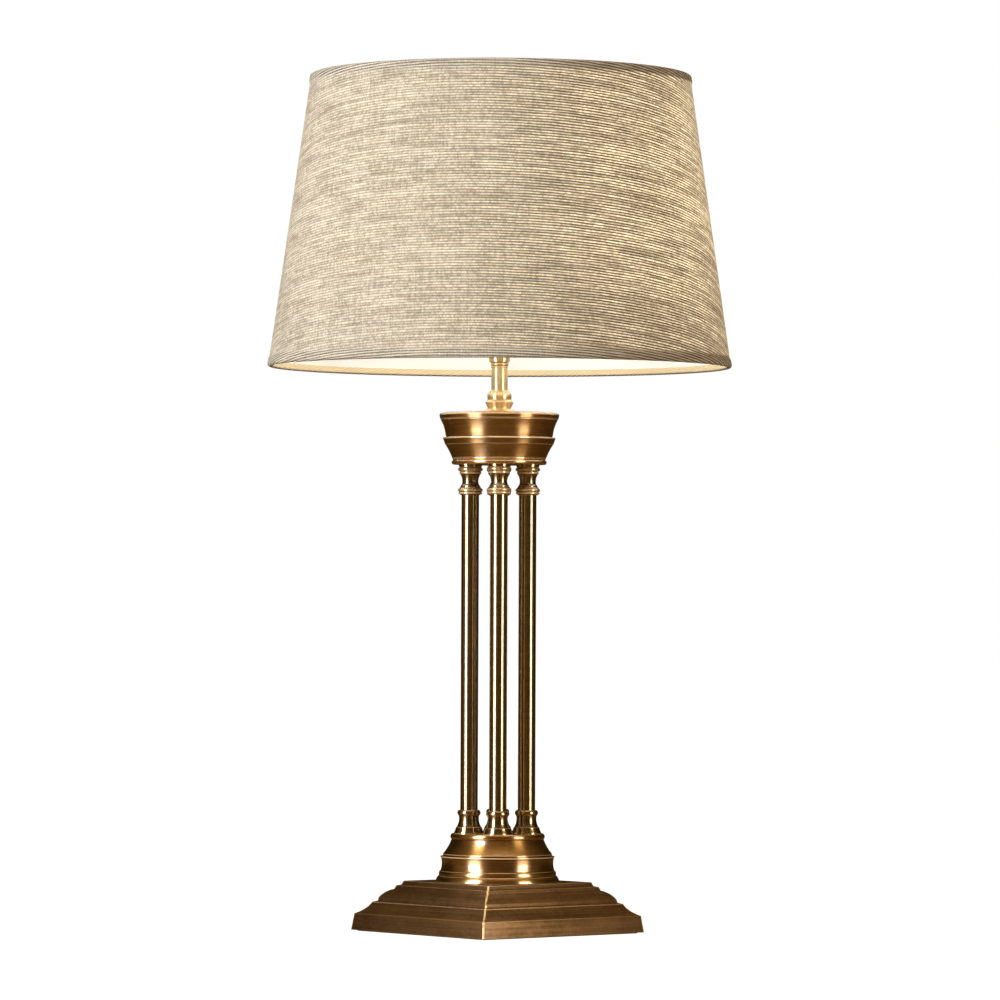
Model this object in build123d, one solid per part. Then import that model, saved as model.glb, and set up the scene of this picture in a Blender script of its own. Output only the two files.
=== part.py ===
from build123d import *
import math
import os

# Column table lamp: a square stepped brass base, a round stepped plinth, four slim columns, a turned
# capital, a short neck, a lampholder with its bulb, and a tapered linen shade. Millimetres, +Z up.
# The origin is on the table, under the lamp's axis. The square base lies along X and Y, -Y is its
# front, and the mains lead enters at the back, +Y.

# Driving heights, from the table to the top of the shade
BASE_SIDE = 160.0          # outside of the skirt, at its foot
BASE_TOP = 38.8            # top of the square casting
PLINTH_HEIGHT = 36.8
FOOT_HEIGHT = 18.0         # turned foot under each column tube
TUBE_SHOWN = 241.1         # column tube between its foot and its head
HEAD_HEIGHT = 23.5         # turned head over each column tube
BOWL_HEIGHT = 38.2         # stepped bowl of the capital
LID_RISE = 1.8             # bevelled lid over the bowl
FLANGE_HEIGHT = 2.8
COLLAR_HEIGHT = 14.0
NECK_TUBE_LENGTH = 17.6
CUP_HEIGHT = 8.9
SHADE_FOOT = 432.6         # height of the shade's lower edge
SHADE_HEIGHT = 224.4

# Driving widths
COLUMN_CIRCLE = 22.0       # radius of the circle through the column axes
CLUSTER_TURN = 5.4         # degrees that the columns stand turned from the base's diagonals
TUBE_RADIUS = 6.7
SHADE_LOW_RADIUS = 177.6   # linen at the lower edge
SHADE_TOP_RADIUS = 145.5   # linen at the upper edge
HOLDER_RADIUS = 19.6

# Heights that follow from them
PLINTH_TOP = BASE_TOP + PLINTH_HEIGHT
TUBE_FOOT = PLINTH_TOP + FOOT_HEIGHT
TUBE_TOP = TUBE_FOOT + TUBE_SHOWN
BOWL_FOOT = TUBE_TOP + HEAD_HEIGHT
BOWL_TOP = BOWL_FOOT + BOWL_HEIGHT
LID_TOP = BOWL_TOP + LID_RISE
COLLAR_FOOT = LID_TOP + FLANGE_HEIGHT
NECK_TUBE_FOOT = COLLAR_FOOT + COLLAR_HEIGHT
CUP_FOOT = NECK_TUBE_FOOT + NECK_TUBE_LENGTH
HOLDER_FOOT = CUP_FOOT + CUP_HEIGHT
SHADE_TOP = SHADE_FOOT + SHADE_HEIGHT

# Walls, rods and fits
GAP = 0.05                 # radial room between two pieces that fit one in the other
PAST = 1.0                 # how far a cutter runs past the face that it cuts
BASE_PLATE = 3.8           # thickness of the casting's flat top
PLINTH_PLATE = 3.5
BOWL_FLOOR = 3.2
SOCKET_DEPTH = 3.0         # how far a tube sits in its foot and in its head
ROD_RADIUS = 3.0           # M6 tie rod
CONDUIT_RADIUS = 4.9       # M10 x 1 hollow rod
CONDUIT_BORE = 3.9
WASHER = 1.0
NUT_HEIGHT = 5.0
ROD_NUT = 10.0             # across flats
CONDUIT_NUT = 14.0
ROD_OVERHANG = 1.0         # rod that shows past each nut

CORNERS = ("front_left", "front_right", "back_right", "back_left")
CONDUIT_CORNER = "back_right"

PIECES = {}


def outline_edges(points):
    """Edges through (across, up) points. A third number on a point bows the edge that ends there
    into an arc, by that much to the right of its way: outwards, where the outline climbs."""
    edges = []
    for start, end in zip(points, points[1:]):
        bow = end[2] if len(end) == 3 else 0
        edges.append(SagittaArc(start[:2], end[:2], -bow) if bow else Line(start[:2], end[:2]))
    return edges


def turned(points):
    """Solid of revolution about Z, from a closed outline of (radius, height) points."""
    return revolve(Plane.XZ * make_face(outline_edges(points + points[:1])), Axis.Z)


def square_block(points):
    """Block with a square section and mitred corners. Its half side follows the outline's
    (half side, height) points up one side."""
    foot, top = points[0], points[-1]
    axis = [Line(top[:2], (0, top[1])), Line((0, top[1]), (0, foot[1])), Line((0, foot[1]), foot[:2])]
    half = make_face(outline_edges(points) + axis)
    section = half + mirror(half, Plane.YZ)
    beam = extrude(Plane.XZ * section, foot[0] + PAST, both=True)
    return beam & (Rot(0, 0, 90) * beam)


def rod(radius, low, high, x=0.0, y=0.0):
    """Upright cylinder between two heights."""
    return Pos(x, y, (low + high) / 2) * Cylinder(radius, high - low)


def ring(outer, inner, low, high, x=0.0, y=0.0):
    """Upright ring between two heights."""
    return rod(outer, low, high, x, y) - rod(inner, low - PAST, high + PAST, x, y)


def slab(half_x, half_y, low, high, x=0.0, y=0.0):
    """Upright box between two heights."""
    return Pos(x, y, (low + high) / 2) * Box(2 * half_x, 2 * half_y, high - low)


def hex_nut(across_flats, bore, low, high, x=0.0, y=0.0):
    """Plain hexagon nut between two heights."""
    hexagon = RegularPolygon(across_flats / math.sqrt(3), 6)
    body = Pos(x, y, low) * extrude(hexagon, high - low)
    return body - rod(bore, low - PAST, high + PAST, x, y)


def round_thread(mean, depth, low, pitch, turns):
    """Outline points of a rounded thread, drawn as closed rings, going up from (mean, low)."""
    return [
        (mean, low + (half + 1) * pitch / 2, depth if half % 2 else -depth)
        for half in range(2 * turns)
    ]


def wire(radius, *points, bends=()):
    """Round wire through points, with one bend radius for each inner point."""
    path = FilletPolyline(*points, radius=list(bends)) if bends else Line(*points)
    solid = sweep(Plane(origin=path @ 0, z_dir=path % 0) * Circle(radius), path)
    expected = math.pi * radius**2 * path.length
    print("wire %.1f long, bends %s, volume %.4f of its section times its length" % (
        path.length, list(bends), solid.volume / expected))
    return solid


def group(solids):
    """Several separate solids in one node."""
    return Compound(children=list(solids))


# ------------------------------------------------------------- columns and the rods inside them

def column_places():
    """Corner name with the X and Y of its column's axis."""
    for i, corner in enumerate(CORNERS):
        angle = math.radians(-135 + 90 * i + CLUSTER_TURN)
        yield corner, COLUMN_CIRCLE * math.cos(angle), COLUMN_CIRCLE * math.sin(angle)


def rod_hole(corner):
    """Radius of the hole that a corner's rod passes through."""
    return (CONDUIT_RADIUS if corner == CONDUIT_CORNER else ROD_RADIUS) + 2 * GAP


def rod_holes(low, high):
    """Cutters for the four rods between two heights."""
    return [rod(rod_hole(corner), low, high, x, y) for corner, x, y in column_places()]


def column_foot(bore):
    """Turned foot, standing at height 0."""
    seat = FOOT_HEIGHT - SOCKET_DEPTH
    return turned([
        (bore, 0),
        (11.6, 0),
        (11.5, 0.5),
        (9.9, 4.7, -0.15),
        (9.3, 5.0),
        (7.6, 11.1, -0.4),
        (7.9, 13.6, -0.1),
        (8.0, 17.7, 0.95),
        (7.3, FOOT_HEIGHT),
        (TUBE_RADIUS + GAP, FOOT_HEIGHT),
        (TUBE_RADIUS + GAP, seat),
        (bore, seat),
    ])


def column_head(bore):
    """Turned head, with its lower end at height 0."""
    return turned([
        (bore, SOCKET_DEPTH),
        (TUBE_RADIUS + GAP, SOCKET_DEPTH),
        (TUBE_RADIUS + GAP, 0),
        (7.5, 0),
        (7.7, 0.5),
        (8.6, 0.7),
        (8.6, 2.3, 0.5),
        (8.5, 2.5),
        (8.9, 2.7),
        (8.9, 4.9, 0.6),
        (8.4, 5.1),
        (8.2, 5.9),
        (7.5, 6.2),
        (6.9, 7.8, 0.15),
        (6.6, 8.1),
        (6.2, 11.2, -0.2),
        (7.7, 15.9, -0.35),
        (7.9, 16.2),
        (7.9, 18.0, 0.5),
        (8.1, 18.3),
        (8.2, 21.2, 1.3),
        (8.7, 21.5),
        (8.9, HEAD_HEIGHT),
        (bore, HEAD_HEIGHT),
    ])


def add_columns():
    plate_foot = BASE_TOP - BASE_PLATE
    floor = BOWL_FOOT + BOWL_FLOOR
    rod_low = plate_foot - WASHER - NUT_HEIGHT - ROD_OVERHANG
    rod_high = floor + WASHER + NUT_HEIGHT + ROD_OVERHANG
    washers, nuts = [], []
    for corner, x, y in column_places():
        hollow = corner == CONDUIT_CORNER
        bore = rod_hole(corner)
        PIECES["column_foot_" + corner] = Pos(x, y, PLINTH_TOP) * column_foot(bore)
        PIECES["column_tube_" + corner] = ring(
            TUBE_RADIUS, TUBE_RADIUS - 1.2, TUBE_FOOT - SOCKET_DEPTH, TUBE_TOP + SOCKET_DEPTH, x, y
        )
        PIECES["column_head_" + corner] = Pos(x, y, TUBE_TOP) * column_head(bore)
        if hollow:
            PIECES["wire_conduit"] = ring(CONDUIT_RADIUS, CONDUIT_BORE, rod_low, rod_high, x, y)
        else:
            PIECES["tie_rod_" + corner] = rod(ROD_RADIUS, rod_low, rod_high, x, y)
        across = CONDUIT_NUT if hollow else ROD_NUT
        for low in (plate_foot - WASHER, floor):
            washers.append(ring(across * 0.62, bore, low, low + WASHER, x, y))
        for low in (plate_foot - WASHER - NUT_HEIGHT, floor + WASHER):
            nuts.append(hex_nut(across, bore - GAP, low, low + NUT_HEIGHT, x, y))
    PIECES["tie_washers"] = group(washers)
    PIECES["tie_nuts"] = group(nuts)


# ------------------------------------------------------------- square base

FELT = 1.2
SKIRT_LIFT = 0.8           # skirt's height above the table, so that the felt carries the lamp
COVER = 1.5
COVER_HALF = 76.2
WEIGHT_HALF = 62.0
WEIGHT_HEIGHT = 9.0
WEIGHT_EYE = 33.0          # radius of the weight's middle hole
WEIGHT_FOOT = FELT + COVER
WEIGHT_TOP = WEIGHT_FOOT + WEIGHT_HEIGHT
SCREW_PLACE = 42.0         # cover screws, from the centre along X and along Y
SCREW_RADIUS = 2.0
SCREW_HEAD = 3.8
SCREW_LENGTH = 20.0
BOSS_RADIUS = 5.0
INLET_HEIGHT = 7.4
INLET_BORE = 3.2
INLET_BARREL = 3.8
INLET_FLANGE = 4.6
INLET_SEAT = 78.3          # Y of the flat under the bush's flange
INLET_WALL = 76.6          # Y of the flat under its nut
FLANGE_THICK = 1.9
INLET_NUT = 2.8


def screw_places():
    return [(x * SCREW_PLACE, y * SCREW_PLACE) for x in (-1, 1) for y in (-1, 1)]


def inlet_rod(radius, near, far):
    """Cylinder along Y on the lead inlet's axis."""
    return Pos(0, (near + far) / 2, INLET_HEIGHT) * Rot(90, 0, 0) * Cylinder(radius, far - near)


def base_casting():
    plate_foot = BASE_TOP - BASE_PLATE
    outside = square_block([
        (BASE_SIDE / 2, SKIRT_LIFT),
        (78.3, 13.0),
        (77.6, 13.8, 0.2),
        (68.7, 21.9, -0.9),
        (68.1, 22.6, 0.2),
        (65.6, 23.4),
        (65.1, 25.6),
        (58.7, 31.7, 0.7),
        (56.5, 32.5),
        (55.4, 35.2),
        (52.5, 35.9),
        (51.5, 38.3),
        (51.0, BASE_TOP, 0.15),
    ])
    hollow = square_block([
        (77.0, SKIRT_LIFT - PAST),
        (75.4, 12.0),
        (64.6, 20.0),
        (61.6, 24.0),
        (54.0, 30.2),
        (48.5, plate_foot),
    ])
    body = outside - hollow
    for x, y in screw_places():
        body += rod(BOSS_RADIUS, WEIGHT_TOP, plate_foot + PAST, x, y)
        body -= rod(SCREW_RADIUS + GAP, WEIGHT_TOP - PAST, WEIGHT_TOP + SCREW_LENGTH * 0.6, x, y)
    body -= rod_holes(plate_foot - PAST, BASE_TOP + PAST)
    body -= inlet_rod(INLET_FLANGE + 0.3, INLET_SEAT, BASE_SIDE / 2 + PAST)
    body -= inlet_rod(INLET_BARREL + GAP, INLET_WALL - PAST, INLET_SEAT + PAST)
    nut_room = slab(6.5, 5.0, INLET_HEIGHT - 4.9, INLET_HEIGHT + 4.9, 0, INLET_WALL - 5.0)
    return body - nut_room


def cover_screw(x, y):
    shank = rod(SCREW_RADIUS, FELT, FELT + SCREW_LENGTH, x, y)
    return shank + Pos(x, y, FELT + COVER / 2) * Cone(SCREW_HEAD, SCREW_RADIUS, COVER)


def add_base():
    cover = slab(COVER_HALF, COVER_HALF, FELT, FELT + COVER)
    weight = slab(WEIGHT_HALF, WEIGHT_HALF, WEIGHT_FOOT, WEIGHT_TOP)
    weight -= rod(WEIGHT_EYE, WEIGHT_FOOT - PAST, WEIGHT_TOP + PAST)
    lead_slot = slab(15.0, 20.0, WEIGHT_FOOT - PAST, WEIGHT_TOP + PAST, 8.0, WEIGHT_HALF - 15.0)
    weight -= lead_slot
    for x, y in screw_places():
        weight -= rod(SCREW_RADIUS + 4 * GAP, WEIGHT_FOOT - PAST, WEIGHT_TOP + PAST, x, y)
        cover -= rod(SCREW_RADIUS + GAP, FELT - PAST, WEIGHT_FOOT + PAST, x, y)
        cover -= Pos(x, y, FELT + COVER / 2) * Cone(SCREW_HEAD + GAP, SCREW_RADIUS + GAP, COVER)
    bush = inlet_rod(INLET_BARREL, INLET_WALL - INLET_NUT - 0.8, INLET_SEAT)
    bush += inlet_rod(INLET_FLANGE, INLET_SEAT, INLET_SEAT + FLANGE_THICK)
    nut = inlet_rod(INLET_FLANGE, INLET_WALL - INLET_NUT, INLET_WALL)
    PIECES["felt_pad"] = slab(COVER_HALF, COVER_HALF, 0, FELT)
    PIECES["bottom_cover"] = cover
    PIECES["base_weight"] = weight
    PIECES["cover_screws"] = group(cover_screw(x, y) for x, y in screw_places())
    PIECES["base_casting"] = base_casting()
    PIECES["lead_inlet_bush"] = bush - inlet_rod(INLET_BORE, INLET_WALL - 5.0, BASE_SIDE / 2 + PAST)
    PIECES["lead_inlet_nut"] = nut - inlet_rod(INLET_BARREL + GAP, INLET_WALL - 5.0, INLET_WALL + PAST)


# ------------------------------------------------------------- plinth and capital

def plinth():
    inside = PLINTH_TOP - PLINTH_PLATE
    body = turned([
        (47.4, BASE_TOP),
        (45.5, 43.2, 0.4),
        (44.9, 43.5),
        (44.3, 47.0, 0.35),
        (43.7, 47.3),
        (43.2, 57.0, -0.7),
        (43.7, 57.4),
        (43.5, 58.3, 0.15),
        (42.3, 58.6),
        (42.2, 59.2),
        (41.7, 59.6),
        (35.3, 71.2, -0.6),
        (35.3, 75.3, 0.9),
        (34.8, PLINTH_TOP),
        (0, PLINTH_TOP),
        (0, inside),
        (31.4, inside),
        (38.4, 58.0, 0.6),
        (40.4, 53.0),
        (42.0, BASE_TOP),
    ])
    return body - rod_holes(inside - PAST, PLINTH_TOP + PAST)


def capital_bowl():
    floor = BOWL_FOOT + BOWL_FLOOR
    body = turned([
        (0, BOWL_FOOT),
        (35.4, BOWL_FOOT),
        (35.6, BOWL_FOOT + 4.2, 0.95),
        (35.7, BOWL_FOOT + 4.7),
        (40.7, BOWL_FOOT + 15.0, -0.85),
        (41.3, BOWL_FOOT + 15.3),
        (43.0, BOWL_FOOT + 20.2),
        (42.6, BOWL_FOOT + 21.1, 0.2),
        (41.2, BOWL_FOOT + 21.3),
        (44.1, BOWL_FOOT + 34.1, -0.8),
        (44.6, BOWL_FOOT + 34.4),
        (45.8, BOWL_TOP - 0.3),
        (45.5, BOWL_TOP),
        (41.4, BOWL_TOP),
        (38.4, BOWL_FOOT + 21.5, 0.7),
        (37.6, BOWL_FOOT + 16.0),
        (32.4, floor + 0.6, 0.8),
        (31.8, floor),
        (0, floor),
    ])
    return body - rod_holes(BOWL_FOOT - PAST, floor + PAST)


LID_SPIGOT = 2.0           # depth of the lid's step inside the bowl


def capital_lid():
    return turned([
        (CONDUIT_RADIUS + GAP, BOWL_TOP - LID_SPIGOT),
        (40.6, BOWL_TOP - LID_SPIGOT),
        (40.6, BOWL_TOP),
        (45.5, BOWL_TOP),
        (45.4, BOWL_TOP + 0.4),
        (41.4, LID_TOP, 0.25),
        (CONDUIT_RADIUS + GAP, LID_TOP),
    ])


# ------------------------------------------------------------- neck

NIPPLE_OVERHANG = 6.0      # nipple that enters the lampholder's cap


def add_neck():
    bore = CONDUIT_RADIUS + GAP
    PIECES["neck_flange"] = turned([
        (bore, LID_TOP),
        (12.7, LID_TOP),
        (12.6, LID_TOP + 0.6, 0.1),
        (9.2, COLLAR_FOOT, 0.45),
        (bore, COLLAR_FOOT),
    ])
    PIECES["neck_collar"] = turned([
        (bore, COLLAR_FOOT),
        (8.9, COLLAR_FOOT),
        (9.1, COLLAR_FOOT + 1.2),
        (10.6, COLLAR_FOOT + 4.5),
        (10.6, COLLAR_FOOT + 5.3, 0.15),
        (9.2, COLLAR_FOOT + 6.7),
        (8.8, COLLAR_FOOT + 6.9),
        (8.7, COLLAR_FOOT + 12.3, 0.5),
        (7.5, COLLAR_FOOT + 12.6),
        (7.4, COLLAR_FOOT + 13.3),
        (6.6, NECK_TUBE_FOOT),
        (bore, NECK_TUBE_FOOT),
    ])
    PIECES["neck_tube"] = ring(6.25, bore, NECK_TUBE_FOOT, CUP_FOOT)
    PIECES["neck_cup"] = turned([
        (bore, CUP_FOOT),
        (6.6, CUP_FOOT),
        (6.7, CUP_FOOT + 1.1, 0.25),
        (6.4, CUP_FOOT + 1.3),
        (6.4, CUP_FOOT + 1.6),
        (6.8, CUP_FOOT + 1.8),
        (6.9, CUP_FOOT + 3.3, 0.2),
        (6.5, CUP_FOOT + 3.6),
        (6.7, CUP_FOOT + 4.0),
        (7.9, CUP_FOOT + 4.3),
        (8.3, HOLDER_FOOT - 0.6),
        (8.0, HOLDER_FOOT),
        (bore, HOLDER_FOOT),
    ])
    nut_top = BOWL_TOP - LID_SPIGOT
    nut_foot = nut_top - NUT_HEIGHT
    PIECES["neck_nipple"] = ring(
        CONDUIT_RADIUS, CONDUIT_BORE, nut_foot - ROD_OVERHANG, HOLDER_FOOT + NIPPLE_OVERHANG
    )
    PIECES["nipple_nut"] = hex_nut(CONDUIT_NUT, bore, nut_foot, nut_top)


# ------------------------------------------------------------- lampholder

CAP_TOP = HOLDER_FOOT + 22.0
CORE_RADIUS = 17.2
CORE_FOOT = HOLDER_FOOT + 14.8
SHELL_FOOT = CORE_FOOT + 8.0
CORE_TOP = HOLDER_FOOT + 50.0
SLEEVE_TOP = CORE_TOP + 1.8
SLEEVE_THREAD = 19.3       # mean radius of the sleeve's outer thread
RING_HEIGHT = 4.6
RING_RADIUS = 27.0
RING_GAP = 0.1
RING_FLUTES = 24
LOWER_RING_FOOT = HOLDER_FOOT + 27.0
FITTER = 1.6               # thickness of the shade's centre ring
FITTER_RADIUS = 29.0
SCREW_PITCH = 3.6          # E27 screw
SHELL_MEAN = 13.95         # mean radius of the holder's screw shell
SHELL_OUTSIDE = 14.7
BULB_MEAN = 12.75          # mean radius of the bulb's screw
TERMINAL_PLACE = 10.0
TERMINAL_RADIUS = 1.6
TERMINAL_SHOWN = 2.2
BULB_TIP = SHELL_FOOT + 4.0
CONTACT_GAP = 0.3


def holder_cap():
    cap = turned([
        (CONDUIT_RADIUS + GAP, HOLDER_FOOT),
        (8.6, HOLDER_FOOT),
        (8.6, HOLDER_FOOT + 4.5),
        (HOLDER_RADIUS, HOLDER_FOOT + 14.5, 2.2),
        (HOLDER_RADIUS, CAP_TOP),
        (HOLDER_RADIUS - 1.0, CAP_TOP),
        (HOLDER_RADIUS - 1.0, HOLDER_FOOT + 14.7),
        (8.0, HOLDER_FOOT + 6.2, -2.1),
        (CONDUIT_RADIUS + GAP, HOLDER_FOOT + 6.2),
    ])
    return cap - grub_screw(GAP, 1.0)


def grub_screw(play, longer):
    """Grub screw that stops the lampholder from turning on the nipple."""
    place = Pos(0, 6.9, HOLDER_FOOT + 2.6) * Rot(90, 0, 0)
    return place * Cylinder(1.5 + play, 3.6 + longer)


def holder_sleeve():
    thread_foot, pitch, turns = CAP_TOP + 1.0, 1.6, 16
    wall = HOLDER_RADIUS - 1.1
    return turned([
        (CORE_RADIUS + 0.2, CAP_TOP - 5.5),
        (wall, CAP_TOP - 5.5),
        (wall, CAP_TOP + GAP),
        (SLEEVE_THREAD, CAP_TOP + GAP),
        (SLEEVE_THREAD, thread_foot),
        *round_thread(SLEEVE_THREAD, 0.25, thread_foot, pitch, turns),
        (SLEEVE_THREAD, SLEEVE_TOP - 0.4),
        (SLEEVE_THREAD - 0.4, SLEEVE_TOP),
        (15.4, SLEEVE_TOP),
        (15.4, CORE_TOP + GAP),
        (CORE_RADIUS + 0.2, CORE_TOP + GAP),
    ])


def holder_core():
    core = rod(CORE_RADIUS, CORE_FOOT, CORE_TOP)
    core -= rod(SHELL_OUTSIDE + GAP, SHELL_FOOT, CORE_TOP + PAST)
    for side in (-1, 1):
        x = side * TERMINAL_PLACE
        core -= rod(TERMINAL_RADIUS + GAP, CORE_FOOT - PAST, CORE_FOOT + 3.1, x)
    return core


def screw_shell():
    foot, top, turns = SHELL_FOOT + GAP, CORE_TOP - 1.0, 6
    thread_foot = foot + 2.0
    return turned([
        (SHELL_OUTSIDE, top),
        (SHELL_OUTSIDE, foot),
        (SHELL_MEAN, foot),
        (SHELL_MEAN, thread_foot),
        *round_thread(SHELL_MEAN, 0.45, thread_foot, SCREW_PITCH, turns),
        (SHELL_MEAN, top),
    ])


def centre_contact():
    """Springy strip in the bottom of the holder, bent up under the bulb's tip."""
    foot, top = SHELL_FOOT + GAP, BULB_TIP - CONTACT_GAP
    strip, half_width = 0.6, 2.5
    lower = slab(7.0, half_width, foot, foot + strip)
    riser = slab(0.4, half_width, foot, top, 6.6)
    upper = slab(6.0, half_width, top - strip, top, 1.0)
    return lower + riser + upper


def shade_ring(foot):
    """Fluted ring nut that screws over the lampholder's sleeve."""
    body = ring(RING_RADIUS, HOLDER_RADIUS + 0.1, foot, foot + RING_HEIGHT)
    for i in range(RING_FLUTES):
        angle = 2 * math.pi * i / RING_FLUTES
        x, y = (RING_RADIUS + 0.3) * math.cos(angle), (RING_RADIUS + 0.3) * math.sin(angle)
        body -= rod(0.9, foot - PAST, foot + RING_HEIGHT + PAST, x, y)
    return body


def add_lampholder():
    upper_ring_foot = LOWER_RING_FOOT + RING_HEIGHT + FITTER + 2 * RING_GAP
    screws = [
        rod(TERMINAL_RADIUS, CORE_FOOT - TERMINAL_SHOWN, CORE_FOOT + 3.0, side * TERMINAL_PLACE)
        for side in (-1, 1)
    ]
    PIECES["holder_cap"] = holder_cap()
    PIECES["holder_grub_screw"] = grub_screw(0, 0)
    PIECES["holder_sleeve"] = holder_sleeve()
    PIECES["holder_core"] = holder_core()
    PIECES["holder_terminals"] = group(screws)
    PIECES["holder_screw_shell"] = screw_shell()
    PIECES["holder_contact"] = centre_contact()
    PIECES["lower_shade_ring"] = shade_ring(LOWER_RING_FOOT)
    PIECES["upper_shade_ring"] = shade_ring(upper_ring_foot)


# ------------------------------------------------------------- wiring held inside

LEAD_RADIUS = 2.2
LEAD_TOP = HOLDER_FOOT + 7.5
LEAD_HEIGHT = WEIGHT_FOOT + 5.0
BLOCK_CENTRE = 45.0        # Y of the terminal block in the base
BLOCK_HALF = 8.0
BLOCK_HEIGHT = 10.0


def inner_lead(x, y):
    """Lead from the terminal block up the hollow rod, across the capital and up the neck."""
    across = BOWL_FOOT + 19.4
    route = [
        (x, BLOCK_CENTRE - BLOCK_HALF, LEAD_HEIGHT),
        (x, y, LEAD_HEIGHT),
        (x, y, across),
        (0, 0, across),
        (0, 0, LEAD_TOP),
    ]
    return wire(LEAD_RADIUS, *route, bends=(9.0, 10.0, 10.0))


def terminal_block(x):
    top = WEIGHT_FOOT + BLOCK_HEIGHT
    block = slab(6.0, BLOCK_HALF, WEIGHT_FOOT, top, x, BLOCK_CENTRE)
    for side in (-1, 1):
        for end in (-1, 1):
            block -= rod(1.6, top - 5, top + PAST, x + side * 2.8, BLOCK_CENTRE + end * 4.5)
    return block


def add_wiring():
    x, y = next((x, y) for corner, x, y in column_places() if corner == CONDUIT_CORNER)
    terminal_foot = CORE_FOOT - TERMINAL_SHOWN
    cores = [
        wire(0.5, (side, 0, LEAD_TOP + 0.5), (side * (TERMINAL_PLACE - 0.6), 0, terminal_foot - 0.5))
        for side in (-1, 1)
    ]
    PIECES["inner_lead"] = inner_lead(x, y)
    PIECES["lead_cores"] = group(cores)
    PIECES["terminal_block"] = terminal_block(x)


# ------------------------------------------------------------- bulb

GLOBE_RADIUS = 30.0
GLOBE_CENTRE = HOLDER_FOOT + 104.8
BULB_CAP_FOOT = BULB_TIP + 4.2
BULB_CAP_TOP = CORE_TOP + 1.0
GLASS = 1.0


def pear(radius, foot, neck):
    """Globe on a neck that flows into it."""
    join = math.radians(-48)
    side, height = radius * math.cos(join), GLOBE_CENTRE + radius * math.sin(join)
    stem = turned([(0, foot), (neck, foot), (neck + 0.4, foot + 6), (side, height, -0.9), (0, height)])
    return stem + Pos(0, 0, GLOBE_CENTRE) * Sphere(radius)


def bulb_cap():
    thread_foot, turns = BULB_CAP_FOOT + 1.2, 4
    wall = 1.6
    return turned([
        (8.0, BULB_CAP_FOOT),
        (11.6, BULB_CAP_FOOT),
        (BULB_MEAN, thread_foot),
        *round_thread(BULB_MEAN, 0.45, thread_foot, SCREW_PITCH, turns),
        (BULB_MEAN + 0.3, BULB_CAP_TOP - 2.0),
        (BULB_MEAN + 0.3, BULB_CAP_TOP),
        (BULB_MEAN - wall, BULB_CAP_TOP),
        (BULB_MEAN - wall, BULB_CAP_FOOT + 1.5),
        (8.0, BULB_CAP_FOOT + 1.5),
    ])


def add_bulb():
    bead = BULB_TIP + 1.4
    PIECES["bulb_screw_cap"] = bulb_cap()
    PIECES["bulb_insulator"] = turned([
        (0, bead),
        (5.0, bead),
        (7.9, BULB_CAP_FOOT - GAP),
        (7.9, BULB_CAP_FOOT + 1.4),
        (0, BULB_CAP_FOOT + 1.4),
    ])
    PIECES["bulb_tip"] = turned([(0, BULB_TIP), (3.4, BULB_TIP + 0.3), (4.4, bead), (0, bead)])
    PIECES["bulb_glass"] = pear(GLOBE_RADIUS, BULB_CAP_TOP, BULB_MEAN) - pear(
        GLOBE_RADIUS - GLASS, BULB_CAP_TOP - PAST, BULB_MEAN - GLASS
    )


# ------------------------------------------------------------- shade

LINEN = 0.6
LINER = 0.5
RIM_WIRE = 1.4
ROLL_DEPTH = 1.35          # rim wire's centre, inwards from the linen's outer face
ROLL_RISE = 2.2            # rim wire's centre, from the shade's edge
ROLL_RADIUS = 2.2          # outside of the linen where it rolls over the rim wire
HEM_HEIGHT = 8.0           # height over which the linen swells out to its roll
LINER_START = 4.3
LAP = 0.45                 # linen's end, lying over its start at the back
LAP_WIDTH = 10.0
SPOKES = 3
SPOKE_RADIUS = 1.3
SPOKE_LEVEL = LOWER_RING_FOOT + RING_HEIGHT + RING_GAP + FITTER / 2
SPOKE_BEND = (52.0, SPOKE_LEVEL)


def cloth_radius(height):
    """Outer radius of the linen at a height."""
    slope = (SHADE_TOP_RADIUS - SHADE_LOW_RADIUS) / SHADE_HEIGHT
    return SHADE_LOW_RADIUS + slope * (height - SHADE_FOOT)


def shade_point(edge, way, depth, rise):
    """Radius and height of a point given by its depth under the linen's outer face and its rise
    from an edge. way is 1 at the lower edge and -1 at the upper one."""
    height = edge + way * rise
    return cloth_radius(height) - depth, height


def wall_outline(outer, inner, low, high):
    """Closed outline of a tapered wall between two depths and two heights."""
    return [
        (cloth_radius(low) - outer, low),
        (cloth_radius(high) - outer, high),
        (cloth_radius(high) - inner, high),
        (cloth_radius(low) - inner, low),
    ]


def rolled_edge(edge, way):
    """Outline of the linen where it rolls over a rim wire and ends against the liner."""
    left, right = ROLL_DEPTH - ROLL_RADIUS, ROLL_DEPTH + ROLL_RADIUS
    inner = ROLL_RADIUS - LINEN
    points = [
        (0, HEM_HEIGHT),
        (left, 5.0, 0.1),
        (left, ROLL_RISE),
        (right, ROLL_RISE, ROLL_RADIUS),
        (2.5, 5.5),
        (1.9, 5.2),
        (right - LINEN, ROLL_RISE),
        (left + LINEN, ROLL_RISE, -inner),
        (left + LINEN, 4.8),
        (LINEN, HEM_HEIGHT),
    ]
    return [
        (*shade_point(edge, way, depth, rise), *(-way * bow for bow in bows))
        for depth, rise, *bows in points
    ]


def rim_centre(edge, way):
    return shade_point(edge, way, ROLL_DEPTH, ROLL_RISE)


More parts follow.
